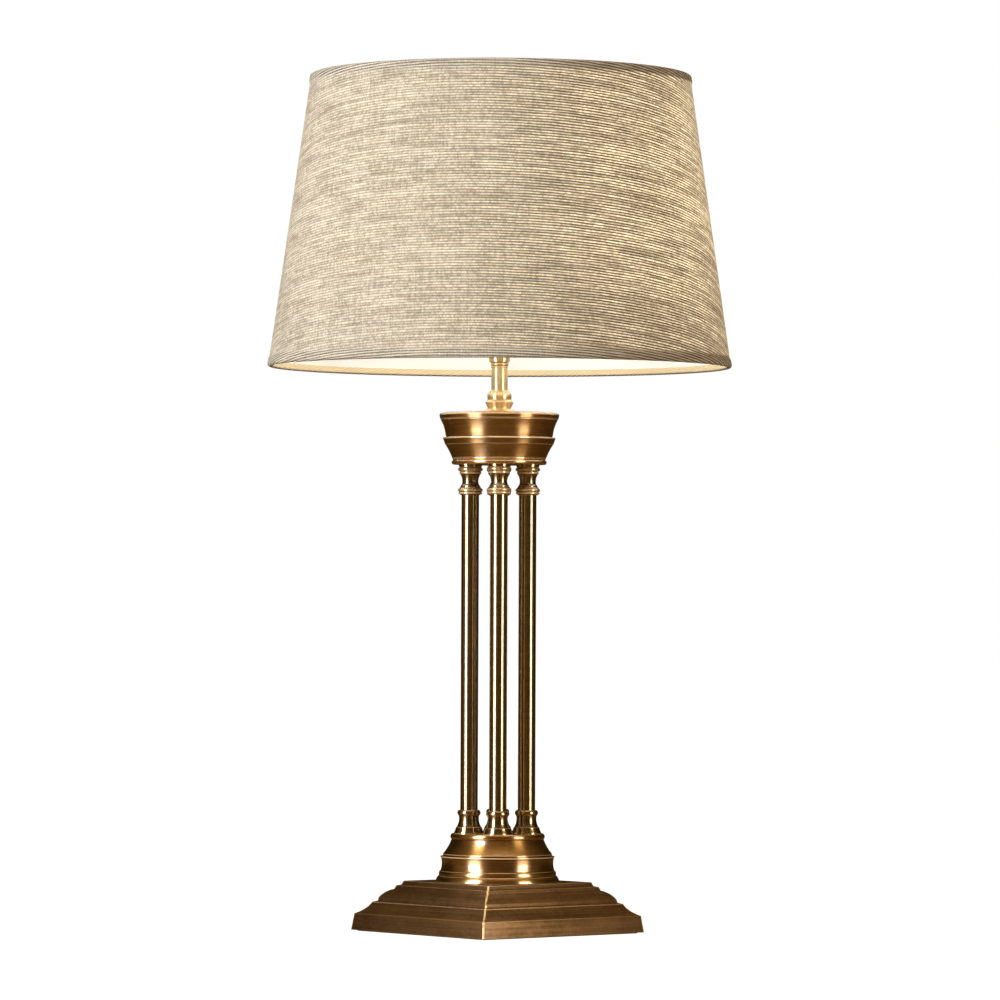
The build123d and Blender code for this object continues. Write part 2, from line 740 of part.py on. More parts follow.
def shade_spokes():
    """Three wires from the fitter ring down to the lower rim wire, and the cutters that clear
    them through the rolled linen."""
    rim_radius, rim_height = rim_centre(SHADE_FOOT, 1)
    bend_radius, bend_height = SPOKE_BEND
    run = math.hypot(rim_radius - bend_radius, rim_height - bend_height)
    stop = 1 - (RIM_WIRE + GAP) / run
    clear = 1 - 14.0 / run
    spokes, cutters = [], []
    for i in range(SPOKES):
        way = math.radians(135 + CLUSTER_TURN + 360 * i / SPOKES)

        def place(radius, height):
            return radius * math.cos(way), radius * math.sin(way), height

        def along(share):
            return place(
                bend_radius + share * (rim_radius - bend_radius),
                bend_height + share * (rim_height - bend_height),
            )

        hub = place(FITTER_RADIUS + GAP, SPOKE_LEVEL)
        spokes.append(wire(SPOKE_RADIUS, hub, place(*SPOKE_BEND), along(stop), bends=(30.0,)))
        cutters.append(wire(SPOKE_RADIUS + 0.3, along(clear), along(stop)))
    return spokes, cutters


def shade_linen(cutters):
    lower, upper = rolled_edge(SHADE_FOOT, 1), rolled_edge(SHADE_TOP, -1)
    faces = [Line(lower[0][:2], upper[0][:2]), Line(lower[-1][:2], upper[-1][:2])]
    section = make_face(outline_edges(lower) + outline_edges(upper) + faces)
    lap_low, lap_high = SHADE_FOOT + HEM_HEIGHT, SHADE_TOP - HEM_HEIGHT
    lap = turned(wall_outline(-LAP, LINEN / 2, lap_low, lap_high))
    at_back = Pos(0, SHADE_LOW_RADIUS, 0) * slab(LAP_WIDTH / 2, SHADE_LOW_RADIUS / 2, lap_low, lap_high)
    return revolve(Plane.XZ * section, Axis.Z) + (lap & at_back) - cutters


def add_shade():
    spokes, cutters = shade_spokes()
    PIECES["shade_linen"] = shade_linen(cutters)
    PIECES["shade_liner"] = turned(wall_outline(
        LINEN + 0.02, LINEN + LINER, SHADE_FOOT + LINER_START, SHADE_TOP - LINER_START
    ))
    for name, edge, way in (("lower", SHADE_FOOT, 1), ("upper", SHADE_TOP, -1)):
        radius, height = rim_centre(edge, way)
        PIECES["rim_wire_" + name] = Pos(0, 0, height) * Torus(radius, RIM_WIRE)
    fitter_foot = SPOKE_LEVEL - FITTER / 2
    PIECES["fitter_ring"] = ring(
        FITTER_RADIUS, HOLDER_RADIUS + 0.6, fitter_foot, fitter_foot + FITTER
    )
    PIECES["shade_spokes"] = group(spokes)


def main():
    add_base()
    PIECES["plinth"] = plinth()
    add_columns()
    PIECES["capital_bowl"] = capital_bowl()
    PIECES["capital_lid"] = capital_lid()
    add_neck()
    add_lampholder()
    add_wiring()
    add_bulb()
    add_shade()
    os.makedirs("parts", exist_ok=True)
    for name, shape in PIECES.items():
        export_step(shape, "parts/%s.step" % name)
    print(len(PIECES), "pieces")


main()
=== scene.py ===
# %% [markdown]
# # A column table lamp
# The lamp is already solid when this notebook starts: every brass turning, rod, wire and screw was drawn to
# size, and is loaded here as a fixed frame. What is left is its looks. Each visible casting and turning is
# modelled again with the crisp beads, rubbed edges and lathe lines of the real one, the shade gets its cloth,
# and each metal, porcelain, plastic and felt gets its finish. Hidden pieces keep their solid and only get a
# finish.

# %% The frame
import math

import bpy
from mathutils import Matrix, Vector


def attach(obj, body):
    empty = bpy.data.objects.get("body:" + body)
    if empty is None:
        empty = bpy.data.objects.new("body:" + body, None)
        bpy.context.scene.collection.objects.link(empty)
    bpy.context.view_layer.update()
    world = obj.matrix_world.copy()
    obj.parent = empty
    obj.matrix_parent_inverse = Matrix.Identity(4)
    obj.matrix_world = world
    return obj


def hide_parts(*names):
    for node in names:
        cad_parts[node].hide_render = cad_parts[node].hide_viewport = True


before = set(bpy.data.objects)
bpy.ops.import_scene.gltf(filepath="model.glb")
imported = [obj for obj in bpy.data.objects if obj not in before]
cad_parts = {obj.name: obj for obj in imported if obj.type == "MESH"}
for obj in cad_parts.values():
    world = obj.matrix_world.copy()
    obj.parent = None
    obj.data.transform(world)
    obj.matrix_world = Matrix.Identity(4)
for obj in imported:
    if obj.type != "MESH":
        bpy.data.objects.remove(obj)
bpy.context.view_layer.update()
MM = 0.001


def deselect():
    bpy.ops.object.select_all(action="DESELECT")


# %% [markdown]
# ## The camera
# A product photograph is taken from far away with a long lens, so that upright lines stay upright and round
# things look nearly flat. Here the eye is level with the middle of the columns, over four metres away. It
# looks at the lamp from just beside the diagonal of its square base, is tipped up a little, and leans by a
# quarter of a degree.

# %% Camera
CAMERA_AZIMUTH = math.radians(50.37)
CAMERA_DISTANCE = 4.361
EYE_HEIGHT = 0.249
TIP_UP = math.radians(1.078)
ASIDE = math.radians(0.010)
LEAN = math.radians(0.24)
LENS = 204.7


def toward(aside):
    """Level direction from the lamp, so many degrees to the right of the camera."""
    angle = CAMERA_AZIMUTH + math.radians(aside)
    return Vector((math.sin(angle), -math.cos(angle), 0.0))


eye = toward(0) * CAMERA_DISTANCE + Vector((0, 0, EYE_HEIGHT))
bpy.ops.object.camera_add(location=eye)
camera = bpy.context.object
camera.name = "photo_camera"
camera.rotation_euler = (
    Matrix.Rotation(CAMERA_AZIMUTH - ASIDE, 3, "Z")
    @ Matrix.Rotation(math.pi / 2 + TIP_UP, 3, "X")
    @ Matrix.Rotation(LEAN, 3, "Z")
).to_euler()
camera.data.sensor_width = 36.0
camera.data.lens = LENS
bpy.context.scene.camera = camera
print("camera at", [round(c, 3) for c in eye], "with a lens of", LENS, "mm")


# %% [markdown]
# ## Floor, sky and lights
# Brass shows its surroundings more than itself. The photograph has two tall soft boxes, one on each side of
# the camera, and darkness behind the lamp, which draws its edges. So there are two tall area lights, and a
# dim, warm room that is a little brighter overhead, behind the camera and beside the boxes. The floor is a
# glossy brown to the brass, as a table top would be. The camera itself sees the floor and the room as plain
# white.

# %% Nodes on a bench
def rgb(red, green, blue):
    return (red, green, blue, 1.0)


class Bench:
    """Builds one node tree. Each call adds a node, feeds it, and gives back what comes out."""

    def __init__(self, tree):
        self.tree = tree

    def feed(self, socket, value):
        if isinstance(value, bpy.types.NodeSocket):
            self.tree.links.new(value, socket)
        else:
            socket.default_value = value

    def add(self, kind, inputs=None, **settings):
        node = self.tree.nodes.new("ShaderNode" + kind)
        for key, value in settings.items():
            setattr(node, key, value)
        for key, value in (inputs or {}).items():
            self.feed(node.inputs[key], value)
        return node

    def math(self, operation, *values, clamp=False):
        return self.add("Math", dict(enumerate(values)), operation=operation, use_clamp=clamp).outputs[0]

    def chain(self, operation, first, *others):
        """One operation on any number of values, from left to right."""
        for other in others:
            first = self.math(operation, first, other)
        return first

    def times(self, *values):
        return self.chain("MULTIPLY", *values)

    def plus(self, *values):
        return self.chain("ADD", *values)

    def less(self, first, second):
        return self.math("SUBTRACT", first, second)

    def larger(self, first, second):
        return self.math("MAXIMUM", first, second)

    def shifted(self, value, noise, amount):
        """A value moved to both sides by a noise."""
        return self.math("MULTIPLY_ADD", self.less(noise, 0.5), amount, value)

    def vector(self, operation, *values):
        node = self.add("VectorMath", dict(enumerate(values)), operation=operation)
        return node.outputs["Value" if operation in ("DOT_PRODUCT", "LENGTH") else "Vector"]

    def split(self, vector):
        return self.add("SeparateXYZ", {"Vector": vector}).outputs

    def join(self, x, y, z=0.0):
        return self.add("CombineXYZ", {"X": x, "Y": y, "Z": z}).outputs[0]

    def noise(self, vector, scale=1.0, detail=2.0, roughness=0.5):
        inputs = {"Vector": vector, "Scale": scale, "Detail": detail, "Roughness": roughness}
        return self.add("TexNoise", inputs).outputs[0]

    def span(self, value, low, high, to_low=0.0, to_high=1.0):
        inputs = {"Value": value, "From Min": low, "From Max": high, "To Min": to_low, "To Max": to_high}
        return self.add("MapRange", inputs, interpolation_type="SMOOTHSTEP").outputs["Result"]

    def mix(self, factor, first, second):
        node = self.add("Mix", data_type="RGBA")
        for index, value in ((0, factor), (6, first), (7, second)):
            self.feed(node.inputs[index], value)
        return node.outputs[2]


def new_material(name, **uniform):
    """Material with its Principled shader. Uniform values go straight to the shader's own sockets."""
    material = bpy.data.materials.new(name)
    material.use_nodes = True
    shader = material.node_tree.nodes["Principled BSDF"]
    for key, value in uniform.items():
        shader.inputs[key.replace("_", " ")].default_value = value
    return Bench(material.node_tree), shader, material


print("bench ready")


# %% Room and floor
ROOM_COLOUR = rgb(1.0, 0.62, 0.16)
ROOM_DARK = 0.030                       # radiance of the room all round
ROOM_TOP, CEILING = 0.22, 0.9           # added towards the ceiling, and on the ceiling
FRONT_WALL = 0.08                       # added behind the camera
LEFT_WALL, RIGHT_WALL = 0.27, 0.11      # added on the walls beside the soft boxes
LEFT_ASIDE, RIGHT_ASIDE = -49.0, 54.0   # degrees from the camera to each soft box, as the lamp sees it
WALL_ASIDE = 14.0                       # and from there to the brightest spot of the wall beside it
FLOOR_WHITE = 1.05                      # radiance of the floor for the camera alone

world = bpy.data.worlds.new("studio")
bpy.context.scene.world = world
world.use_nodes = True
sky = Bench(world.node_tree)
way = sky.add("TexCoord").outputs["Generated"]
up = sky.split(way)["Z"]
walls = [
    sky.span(sky.vector("DOT_PRODUCT", way, toward(aside)), low, high, 0.0, radiance)
    for aside, low, high, radiance in (
        (LEFT_ASIDE - WALL_ASIDE, 0.60, 0.98, LEFT_WALL),
        (RIGHT_ASIDE + WALL_ASIDE, 0.74, 0.98, RIGHT_WALL),
        (0, 0.80, 0.99, FRONT_WALL),
    )
]
overhead = [sky.span(up, 0.3, 1.0, 0.0, ROOM_TOP), sky.span(up, 0.84, 0.97, 0.0, CEILING)]
room = sky.add("Background", {"Color": ROOM_COLOUR, "Strength": sky.plus(ROOM_DARK, *walls, *overhead)})
white = sky.add("Background", {"Color": rgb(1.0, 1.0, 1.0), "Strength": 1.0})
seen = sky.add("LightPath").outputs["Is Camera Ray"]
both = sky.add("MixShader", {0: seen, 1: room.outputs[0], 2: white.outputs[0]})
sky.feed(world.node_tree.nodes["World Output"].inputs["Surface"], both.outputs[0])

deselect()
bpy.ops.mesh.primitive_plane_add(size=30.0)
floor = bpy.context.object
floor.name = "floor"
bench, shader, paint = new_material(
    "pale_floor", Base_Color=rgb(0.17, 0.100, 0.025), Roughness=0.30, IOR=1.9,
    Emission_Color=rgb(1.0, 1.0, 1.0),
)
floor.data.materials.append(paint)
lift = bench.times(bench.add("LightPath").outputs["Is Camera Ray"], FLOOR_WHITE)
bench.feed(shader.inputs["Emission Strength"], lift)
print("floor and room ready")


# %% Soft boxes
BOX_DISTANCE = 2.2


def soft_box(name, aside, centre, width, height, radiance, colour):
    """Tall area light, so many degrees to the camera's right as the lamp sees it, aimed at the lamp."""
    place = toward(aside) * BOX_DISTANCE + Vector((0, 0, centre))
    bpy.ops.object.light_add(type="AREA", location=place)
    light = bpy.context.object
    light.name = name
    light.rotation_euler = (Vector((0, 0, centre)) - place).to_track_quat("-Z", "Y").to_euler()
    light.data.shape = "RECTANGLE"
    light.data.size, light.data.size_y = width, height
    light.data.energy = radiance * math.pi * width * height
    light.data.color = colour
    light.visible_camera = False
    return light


left_box = soft_box("left_box", LEFT_ASIDE, 1.15, 0.90, 2.3, 11.5, (0.95, 0.98, 1.0))
right_box = soft_box("right_box", RIGHT_ASIDE, 0.62, 0.80, 1.3, 8.0, (1.0, 0.92, 0.78))
bpy.context.scene.view_settings.view_transform = "Standard"
print("lights:", left_box.name, right_box.name)


# %% [markdown]
# ## Antique brass
# Antique brass is plain brass that was darkened in a bath, then rubbed back: the ridges are bright again, the
# hollows stay brown, and the lathe leaves fine lines round every turning. Two small groups are shared by all
# the brass here: one draws the lathe lines, and one mixes bright, dark and bare metal by how exposed each spot
# is.

# %% Group: lathe lines
def new_group(name, inputs, outputs):
    """Empty node group with named sockets. Gives its bench, what comes in, and where its results go."""
    group = bpy.data.node_groups.new(name, "ShaderNodeTree")
    for label, kind, value in inputs:
        socket = group.interface.new_socket(label, in_out="INPUT", socket_type="NodeSocket" + kind)
        socket.default_value = value
    for label, kind in outputs:
        group.interface.new_socket(label, in_out="OUTPUT", socket_type="NodeSocket" + kind)
    source, result = group.nodes.new("NodeGroupInput"), group.nodes.new("NodeGroupOutput")
    return Bench(group), source.outputs, result.inputs


bench, given, result = new_group(
    "lathe_lines",
    [
        ("Vector", "Vector", (0, 0, 0)), ("Lines", "Float", 900.0),
        ("Drift", "Float", 9.0), ("Radial", "Float", 0.0),
    ],
    [("Lines", "Float")],
)
x, y, z = bench.split(given["Vector"])
radius = bench.vector("LENGTH", bench.join(x, y))
travel = bench.plus(z, bench.times(radius, given["Radial"]))
drift_x, drift_y = (bench.times(axis, given["Drift"]) for axis in (x, y))
fine = bench.noise(bench.join(drift_x, drift_y, bench.times(travel, given["Lines"])), detail=3.0)
broad = bench.noise(bench.join(drift_x, drift_y, bench.times(travel, given["Lines"], 0.22)), detail=1.0)
bench.feed(result["Lines"], bench.plus(bench.times(fine, 0.6), bench.times(broad, 0.4)))
print("lathe_lines:", len(bench.tree.nodes), "nodes")


# %% Group: rubbed bronze
bench, given, result = new_group(
    "rubbed_bronze",
    [
        ("Vector", "Vector", (0, 0, 0)), ("Lines", "Float", 0.5),
        ("Wear", "Float", 0.0), ("Patina", "Float", 0.5),
        ("Bright", "Color", rgb(0.72, 0.39, 0.12)), ("Dark", "Color", rgb(0.11, 0.040, 0.008)),
        ("Smooth", "Float", 0.15), ("Matt", "Float", 0.4), ("Clouds", "Float", 0.5),
    ],
    [("Color", "Color"), ("Roughness", "Float"), ("Height", "Float"), ("Bare", "Float")],
)
clouds = bench.noise(given["Vector"], 38.0, 4.0, 0.6)
specks = bench.noise(given["Vector"], 420.0, 3.0, 0.6)
patina = bench.shifted(given["Patina"], clouds, given["Clouds"])
patina = bench.shifted(bench.shifted(patina, specks, 0.35), given["Lines"], 0.9)
ridge = bench.times(bench.larger(given["Wear"], 0.0), bench.span(specks, 0.30, 0.55, 0.75, 1.0))
hollow = bench.larger(bench.times(given["Wear"], -1.0), 0.0)
exposed = bench.less(bench.times(hollow, 0.8), bench.times(ridge, 1.1))
patina = bench.math("ADD", patina, exposed, clamp=True)
bare = bench.span(ridge, 0.20, 0.65)
covered = bench.mix(patina, given["Bright"], given["Dark"])
bench.feed(result["Bare"], bare)
bench.feed(result["Color"], bench.mix(bare, covered, rgb(0.92, 0.64, 0.34)))
bench.feed(result["Roughness"], bench.span(patina, 0.0, 1.0, given["Smooth"], given["Matt"]))
bench.feed(result["Height"], bench.plus(given["Lines"], bench.times(specks, 0.25)))
print("rubbed_bronze:", len(bench.tree.nodes), "nodes")


# %% Brass materials
SCUFFED = 0.45      # how metallic a bare ridge still is
BASE_WEAR = 0.42    # how much of its ridges' wear the square base shows, beside its mitres


def bump(bench, shader, height, distance, strength=1.0):
    """Feeds the shader's normal from a height, in metres for a height of one."""
    node = bench.add("Bump", {"Strength": strength, "Distance": distance, "Height": height})
    bench.feed(shader.inputs["Normal"], node.outputs["Normal"])


def mitre_wear(bench, place):
    """Bright where two sides of the square base meet, up to the foot of its flat top."""
    x, y, z = bench.split(place)
    across = bench.less(bench.math("ABSOLUTE", x), bench.math("ABSOLUTE", y))
    near = bench.span(bench.math("ABSOLUTE", across), 0.0004, 0.0016, 1.0, 0.0)
    below = bench.span(z, 0.0383, 0.0387, 1.0, 0.0)
    broken = bench.span(bench.noise(place, 260.0, 2.0), 0.35, 0.5, 0.35, 1.0)
    return bench.times(near, below, broken)


def brass(name, patina, smooth, matt, clouds, lines, radial=0.0, depth=0.00003, bright=None, dark=None,
          mitres=False, brushed=0.9, lacquer=1.0, metal=1.0):
    """Lacquered brass. Lathe lines run round the axis, so they spread a highlight up and down, not sideways. A
    ridge that is rubbed bare is scuffed too, and scatters light like something that isn't metal."""
    bench, shader, material = new_material(
        name, Anisotropic=brushed, Anisotropic_Rotation=0.25,
        Coat_Weight=lacquer, Coat_Roughness=0.15, Coat_IOR=2.0,
    )
    bench.feed(shader.inputs["Tangent"], bench.add("Tangent", direction_type="RADIAL", axis="Z").outputs[0])
    place = bench.add("TexCoord").outputs["Object"]
    grooves = bench.add("Group", {"Vector": place, "Lines": lines, "Radial": radial},
                        node_tree=bpy.data.node_groups["lathe_lines"]).outputs[0]
    wear = bench.add("Attribute", attribute_name="wear").outputs["Fac"]
    if mitres:
        wear = bench.larger(bench.times(wear, BASE_WEAR), mitre_wear(bench, place))
    inputs = {"Vector": place, "Lines": grooves, "Wear": wear, "Patina": patina, "Smooth": smooth, "Matt": matt,
              "Clouds": clouds}
    for label, colour in (("Bright", bright), ("Dark", dark)):
        if colour:
            inputs[label] = colour
    finish = bench.add("Group", inputs, node_tree=bpy.data.node_groups["rubbed_bronze"]).outputs
    bench.feed(shader.inputs["Base Color"], finish["Color"])
    bench.feed(shader.inputs["Roughness"], finish["Roughness"])
    bench.feed(shader.inputs["Metallic"], bench.span(finish["Bare"], 0.0, 1.0, metal, metal * SCUFFED))
    bump(bench, shader, finish["Height"], depth)
    return material


BRASS = {
    "base": brass("brass_base", 0.76, 0.38, 0.48, clouds=0.55, lines=700.0, depth=0.00004, mitres=True,
                  bright=rgb(0.60, 0.36, 0.165), dark=rgb(0.105, 0.050, 0.020), brushed=0.25, lacquer=0.30),
    "turned": brass("brass_turned", 0.46, 0.26, 0.38, clouds=0.35, lines=1100.0, radial=0.7),
    "column": brass("brass_column", 0.58, 0.18, 0.27, clouds=0.4, lines=1400.0, depth=0.000012,
                    bright=rgb(0.64, 0.43, 0.18), dark=rgb(0.060, 0.031, 0.010)),
    # Painted light: the neck is a brighter, yellower, less metallic copy of the brass, for the bulb's light
    # that falls on it.
    "neck": brass("brass_neck_painted_bright", 0.12, 0.28, 0.40, clouds=0.3, lines=1400.0, depth=0.000012,
                  bright=rgb(0.97, 0.76, 0.38), dark=rgb(0.22, 0.12, 0.03), lacquer=0.5, metal=0.8),
}
print("brass:", ", ".join(material.name for material in BRASS.values()))


# %% [markdown]
# ## Turning on a lathe
# Every round part of the lamp came off a lathe, and is made the same way here: one point is extruded along
# the outline, which has its beads and coves as arcs and its corners rounded by a quarter of a millimetre, and
# the outline is spun round the axis. Each point also remembers how sharply the outline turns there. That
# number is what the brass reads as wear: above nothing on a ridge, below nothing in a hollow.

# %% Outlines
ROOMY = 1.5         # mm: an edge this long has room for a point beside its corner
SHARPNESS = 1.3     # how soon a turn counts as a full ridge


def arc(start, end, bow):
    """Points after start, up to end, on the edge that bows to the right of its way by bow."""
    (r0, z0), (r1, z1) = start, end
    run, rise = r1 - r0, z1 - z0
    chord = math.hypot(run, rise)
    if not bow:
        return [end]
    radius = (chord**2 / 4 + bow**2) / (2 * abs(bow))
    half = 2 * math.atan2(2 * abs(bow), chord)
    steps = max(3, math.ceil(math.degrees(2 * half) / 6))
    side = math.copysign(1.0, bow)
    right = (rise / chord * side, -run / chord * side)
    points = []
    for i in range(1, steps + 1):
        turn = -half + 2 * half * i / steps
        forward = chord / 2 + radius * math.sin(turn)
        out = abs(bow) - radius * (1 - math.cos(turn))
        radial, height = run / chord * forward + right[0] * out, rise / chord * forward + right[1] * out
        points.append((r0 + radial, z0 + height))
    return points


def sampled(path):
    """Dense (radius, height) points along an open path whose third numbers bow its edges."""
    points = [path[0][:2]]
    for end in path[1:]:
        points += arc(points[-1], end[:2], end[2] if len(end) == 3 else 0)
    return points


def unit(start, end):
    length = math.dist(start, end)
    return (end[0] - start[0]) / length, (end[1] - start[1]) / length, length


def softened(points, corner=0.25, sharp=18, longest=9.0, beside=0.35):
    """A closed outline with its corners rounded, points beside each of them, and long edges divided."""
    result = []
    count = len(points)
    for i, here in enumerate(points):
        before, after = points[i - 1], points[(i + 1) % count]
        in_x, in_z, in_length = unit(before, here)
        out_x, out_z, out_length = unit(here, after)
        turn = math.degrees(abs(math.atan2(in_x * out_z - in_z * out_x, in_x * out_x + in_z * out_z)))
        if turn > sharp and here[0] > 0:
            cut = min(corner, 0.4 * in_length, 0.4 * out_length)
            first = (here[0] - in_x * cut, here[1] - in_z * cut)
            last = (here[0] + out_x * cut, here[1] + out_z * cut)
            if in_length > ROOMY:
                result.append((first[0] - in_x * beside, first[1] - in_z * beside))
            for share in (0, 0.25, 0.5, 0.75, 1):
                near, far, middle = (1 - share) ** 2, share**2, 2 * share * (1 - share)
                result.append(tuple(near * first[k] + middle * here[k] + far * last[k] for k in (0, 1)))
            if out_length > ROOMY:
                result.append((last[0] + out_x * beside, last[1] + out_z * beside))
        else:
            result.append(here)
        parts = int(out_length // longest)
        for part in range(1, parts + 1):
            share = part / (parts + 1)
            result.append((here[0] + out_x * out_length * share, here[1] + out_z * out_length * share))
    return result


def exposure(points):
    """How exposed each point of a closed outline is: 1 on a sharp ridge, 0 on a flat, -1 in a hollow."""
    values = []
    for i, here in enumerate(points):
        before, after = points[i - 1], points[(i + 1) % len(points)]
        in_x, in_z, in_length = unit(before, here)
        out_x, out_z, out_length = unit(here, after)
        turn = math.atan2(in_x * out_z - in_z * out_x, in_x * out_x + in_z * out_z)
        values.append(max(-1.0, min(1.0, SHARPNESS * turn / (in_length + out_length))))
    return values


outline = softened([(10, 0), (20, 0), (20, 10), (10, 10)])
print("a ring of four corners becomes", len(outline), "points, exposed", round(max(exposure(outline)), 2))


# %% Spinning
MERGE = 0.002 * MM


def mode(name):
    bpy.ops.object.mode_set(mode=name)


def take(piece):
    """Makes the piece the active and only selected one."""
    deselect()
    bpy.context.view_layer.objects.active = piece
    piece.select_set(True)


def tighten(piece):
    """Merges the piece's doubles and points its faces outwards."""
    take(piece)
    mode("EDIT")
    bpy.ops.mesh.select_all(action="SELECT")
    bpy.ops.mesh.remove_doubles(threshold=MERGE)
    bpy.ops.mesh.normals_make_consistent(inside=False)
    mode("OBJECT")


def close_shell():
    """Fills the opening of the shell that is in edit mode, and leaves edit mode."""
    bpy.ops.mesh.select_all(action="DESELECT")
    bpy.ops.mesh.select_mode(type="EDGE")
    bpy.ops.mesh.select_non_manifold()
    bpy.ops.mesh.edge_face_add()
    mode("OBJECT")


def finish_mesh(piece, material, body="stand", smooth=35):
    """Tightens the mesh, shades it by angle, and gives it its material and its body."""
    tighten(piece)
    bpy.ops.object.shade_smooth_by_angle(angle=math.radians(smooth))
    piece.data.materials.clear()
    piece.data.materials.append(material)
    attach(piece, body)


def one_point(name, place):
    """New mesh object of a single point, in edit mode and selected. Edit mode is left and entered again after
    the merge, because new points would otherwise take up the merged ones' numbers, out of order."""
    deselect()
    bpy.ops.mesh.primitive_plane_add(size=MM)
    bpy.context.object.name = name
    mode("EDIT")
    bpy.ops.mesh.select_mode(type="VERT")
    bpy.ops.mesh.merge(type="CENTER")
    bpy.ops.transform.translate(value=place)
    mode("OBJECT")
    mode("EDIT")


def spun(name, points, steps, label, values):
    """Closed outline of (radius, height) points in millimetres, spun into a mesh about the upright axis. Each
    point's value goes round with it, as an attribute."""
    one_point(name, (points[0][0] * MM, 0, points[0][1] * MM))
    for start, end in zip(points, points[1:] + points[:1]):
        step = ((end[0] - start[0]) * MM, 0, (end[1] - start[1]) * MM)
        bpy.ops.mesh.extrude_region_move(TRANSFORM_OT_translate={"value": step})
    mode("OBJECT")
    piece = bpy.context.object
    piece.data.attributes.new(label, "FLOAT", "POINT").data.foreach_set("value", values + values[:1])
    mode("EDIT")
    bpy.ops.mesh.select_all(action="SELECT")
    bpy.ops.mesh.spin(steps=steps, angle=2 * math.pi, center=(0, 0, 0), axis=(0, 0, 1))
    mode("OBJECT")
    return piece


def turned(name, path, material, node=None, steps=96, foot=0.0, corner=0.25):
    """A finished turning from a closed outline, given from its own foot."""
    raised = [(end[0], end[1] + foot, *end[2:]) for end in path]
    points = softened(sampled(raised + raised[:1])[:-1], corner)
    piece = spun(name, points, steps, "wear", exposure(points))
    finish_mesh(piece, material)
    if node:
        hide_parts(node)
    low, high = (f(v.co.z for v in piece.data.vertices) / MM for f in (min, max))
    print(f"{name}: {len(points)} outline points, {len(piece.data.polygons)} faces, {low:.1f} to {high:.1f} mm")
    return piece


# %% [markdown]
# ## The plinth
# The round plinth is a hollow casting, turned all over: a splayed foot with two steps, a waist, a narrow
# shelf, a slope that curves up, and a thick bead round the flat that the columns stand on. It is closed
# inside too, so that it is a real wall of metal and not a skin.

# %% Plinth
ROD_HOLE = 3.1
turned("plinth_turning", [
    (47.4, 38.8), (45.5, 43.2, 0.4), (44.9, 43.5), (44.3, 47.0, 0.35), (43.7, 47.3), (43.2, 57.0, -0.7),
    (43.7, 57.4), (43.6, 58.3, 0.15), (41.5, 58.6), (42.0, 59.8), (35.3, 71.2, -0.6),
    (35.3, 75.3, 0.9), (34.8, 75.6), (0, 75.6), (0, 72.1), (31.4, 72.1), (38.4, 58.0, 0.6), (40.4, 53.0),
    (42.0, 38.8),
], BRASS["turned"], "plinth", steps=144)


# %% [markdown]
# ## Four columns
# Each column is a turned foot, a plain tube and a turned head, pulled together by a rod inside. The three
# pieces are turned once, on the lamp's axis, and then copied to the four places round it. They stand on a
# small circle, a few degrees off the diagonals of the base.

# %% Column pieces
TUBE = 6.7
FOOT_LEVEL, TUBE_LEVEL, HEAD_LEVEL, HEAD_TOP = 75.6, 93.6, 334.7, 358.2
COLUMN_PIECES = {
    "foot": [
        (ROD_HOLE, FOOT_LEVEL), (11.6, FOOT_LEVEL), (11.5, 76.1), (9.9, 80.3, -0.15), (9.3, 80.6),
        (7.6, 86.7, -0.4), (7.9, 89.2, -0.1), (8.0, 93.3, 0.95), (7.3, TUBE_LEVEL), (6.75, TUBE_LEVEL),
        (6.75, 90.6), (ROD_HOLE, 90.6),
    ],
    "tube": [(5.5, 90.6), (TUBE, 90.6), (TUBE, 337.7), (5.5, 337.7)],
    "head": [
        (6.75, 337.7), (6.75, HEAD_LEVEL), (7.5, HEAD_LEVEL), (7.7, 335.2), (8.6, 335.4), (8.6, 337.0, 0.5),
        (8.5, 337.2), (8.9, 337.4), (8.9, 339.6, 0.6), (8.4, 339.8), (8.2, 340.6), (7.5, 340.9),
        (6.9, 342.5, 0.15), (6.6, 342.8), (6.2, 345.9, -0.2), (7.7, 350.6, -0.35), (7.9, 350.9),
        (7.9, 352.7, 0.5), (8.1, 353.0), (8.2, 355.9, 1.3), (8.7, 356.2), (8.9, HEAD_TOP),
        (ROD_HOLE, HEAD_TOP), (ROD_HOLE, 337.7),
    ],
}
column_models = {
    kind: turned("column_" + kind + "_turning", path, BRASS["column"], steps=64, corner=0.15)
    for kind, path in COLUMN_PIECES.items()
}


# %% Column copies
COLUMN_CIRCLE = 22.0
CLUSTER_TURN = 5.4
CORNERS = ("front_left", "front_right", "back_right", "back_left")
for i, corner in enumerate(CORNERS):
    angle = math.radians(-135 + 90 * i + CLUSTER_TURN)
    place = Matrix.Translation((COLUMN_CIRCLE * MM * math.cos(angle), COLUMN_CIRCLE * MM * math.sin(angle), 0))
    for kind, model in column_models.items():
        piece = model.copy()
        piece.data = model.data.copy()
        piece.name = f"{kind}_{corner}"
        bpy.context.scene.collection.objects.link(piece)
        piece.data.transform(place @ Matrix.Rotation(angle, 4, "Z"))
        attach(piece, "stand")
        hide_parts(f"column_{kind}_{corner}")
for model in column_models.values():
    bpy.data.objects.remove(model)
print("columns at", ", ".join(CORNERS))


# %% [markdown]
# ## The capital
# The capital repeats the plinth upside down: a bead, a cove, a rim that stands out like a saucer, a second
# cove and a flared rim. A thin lid with a bevelled edge closes it.

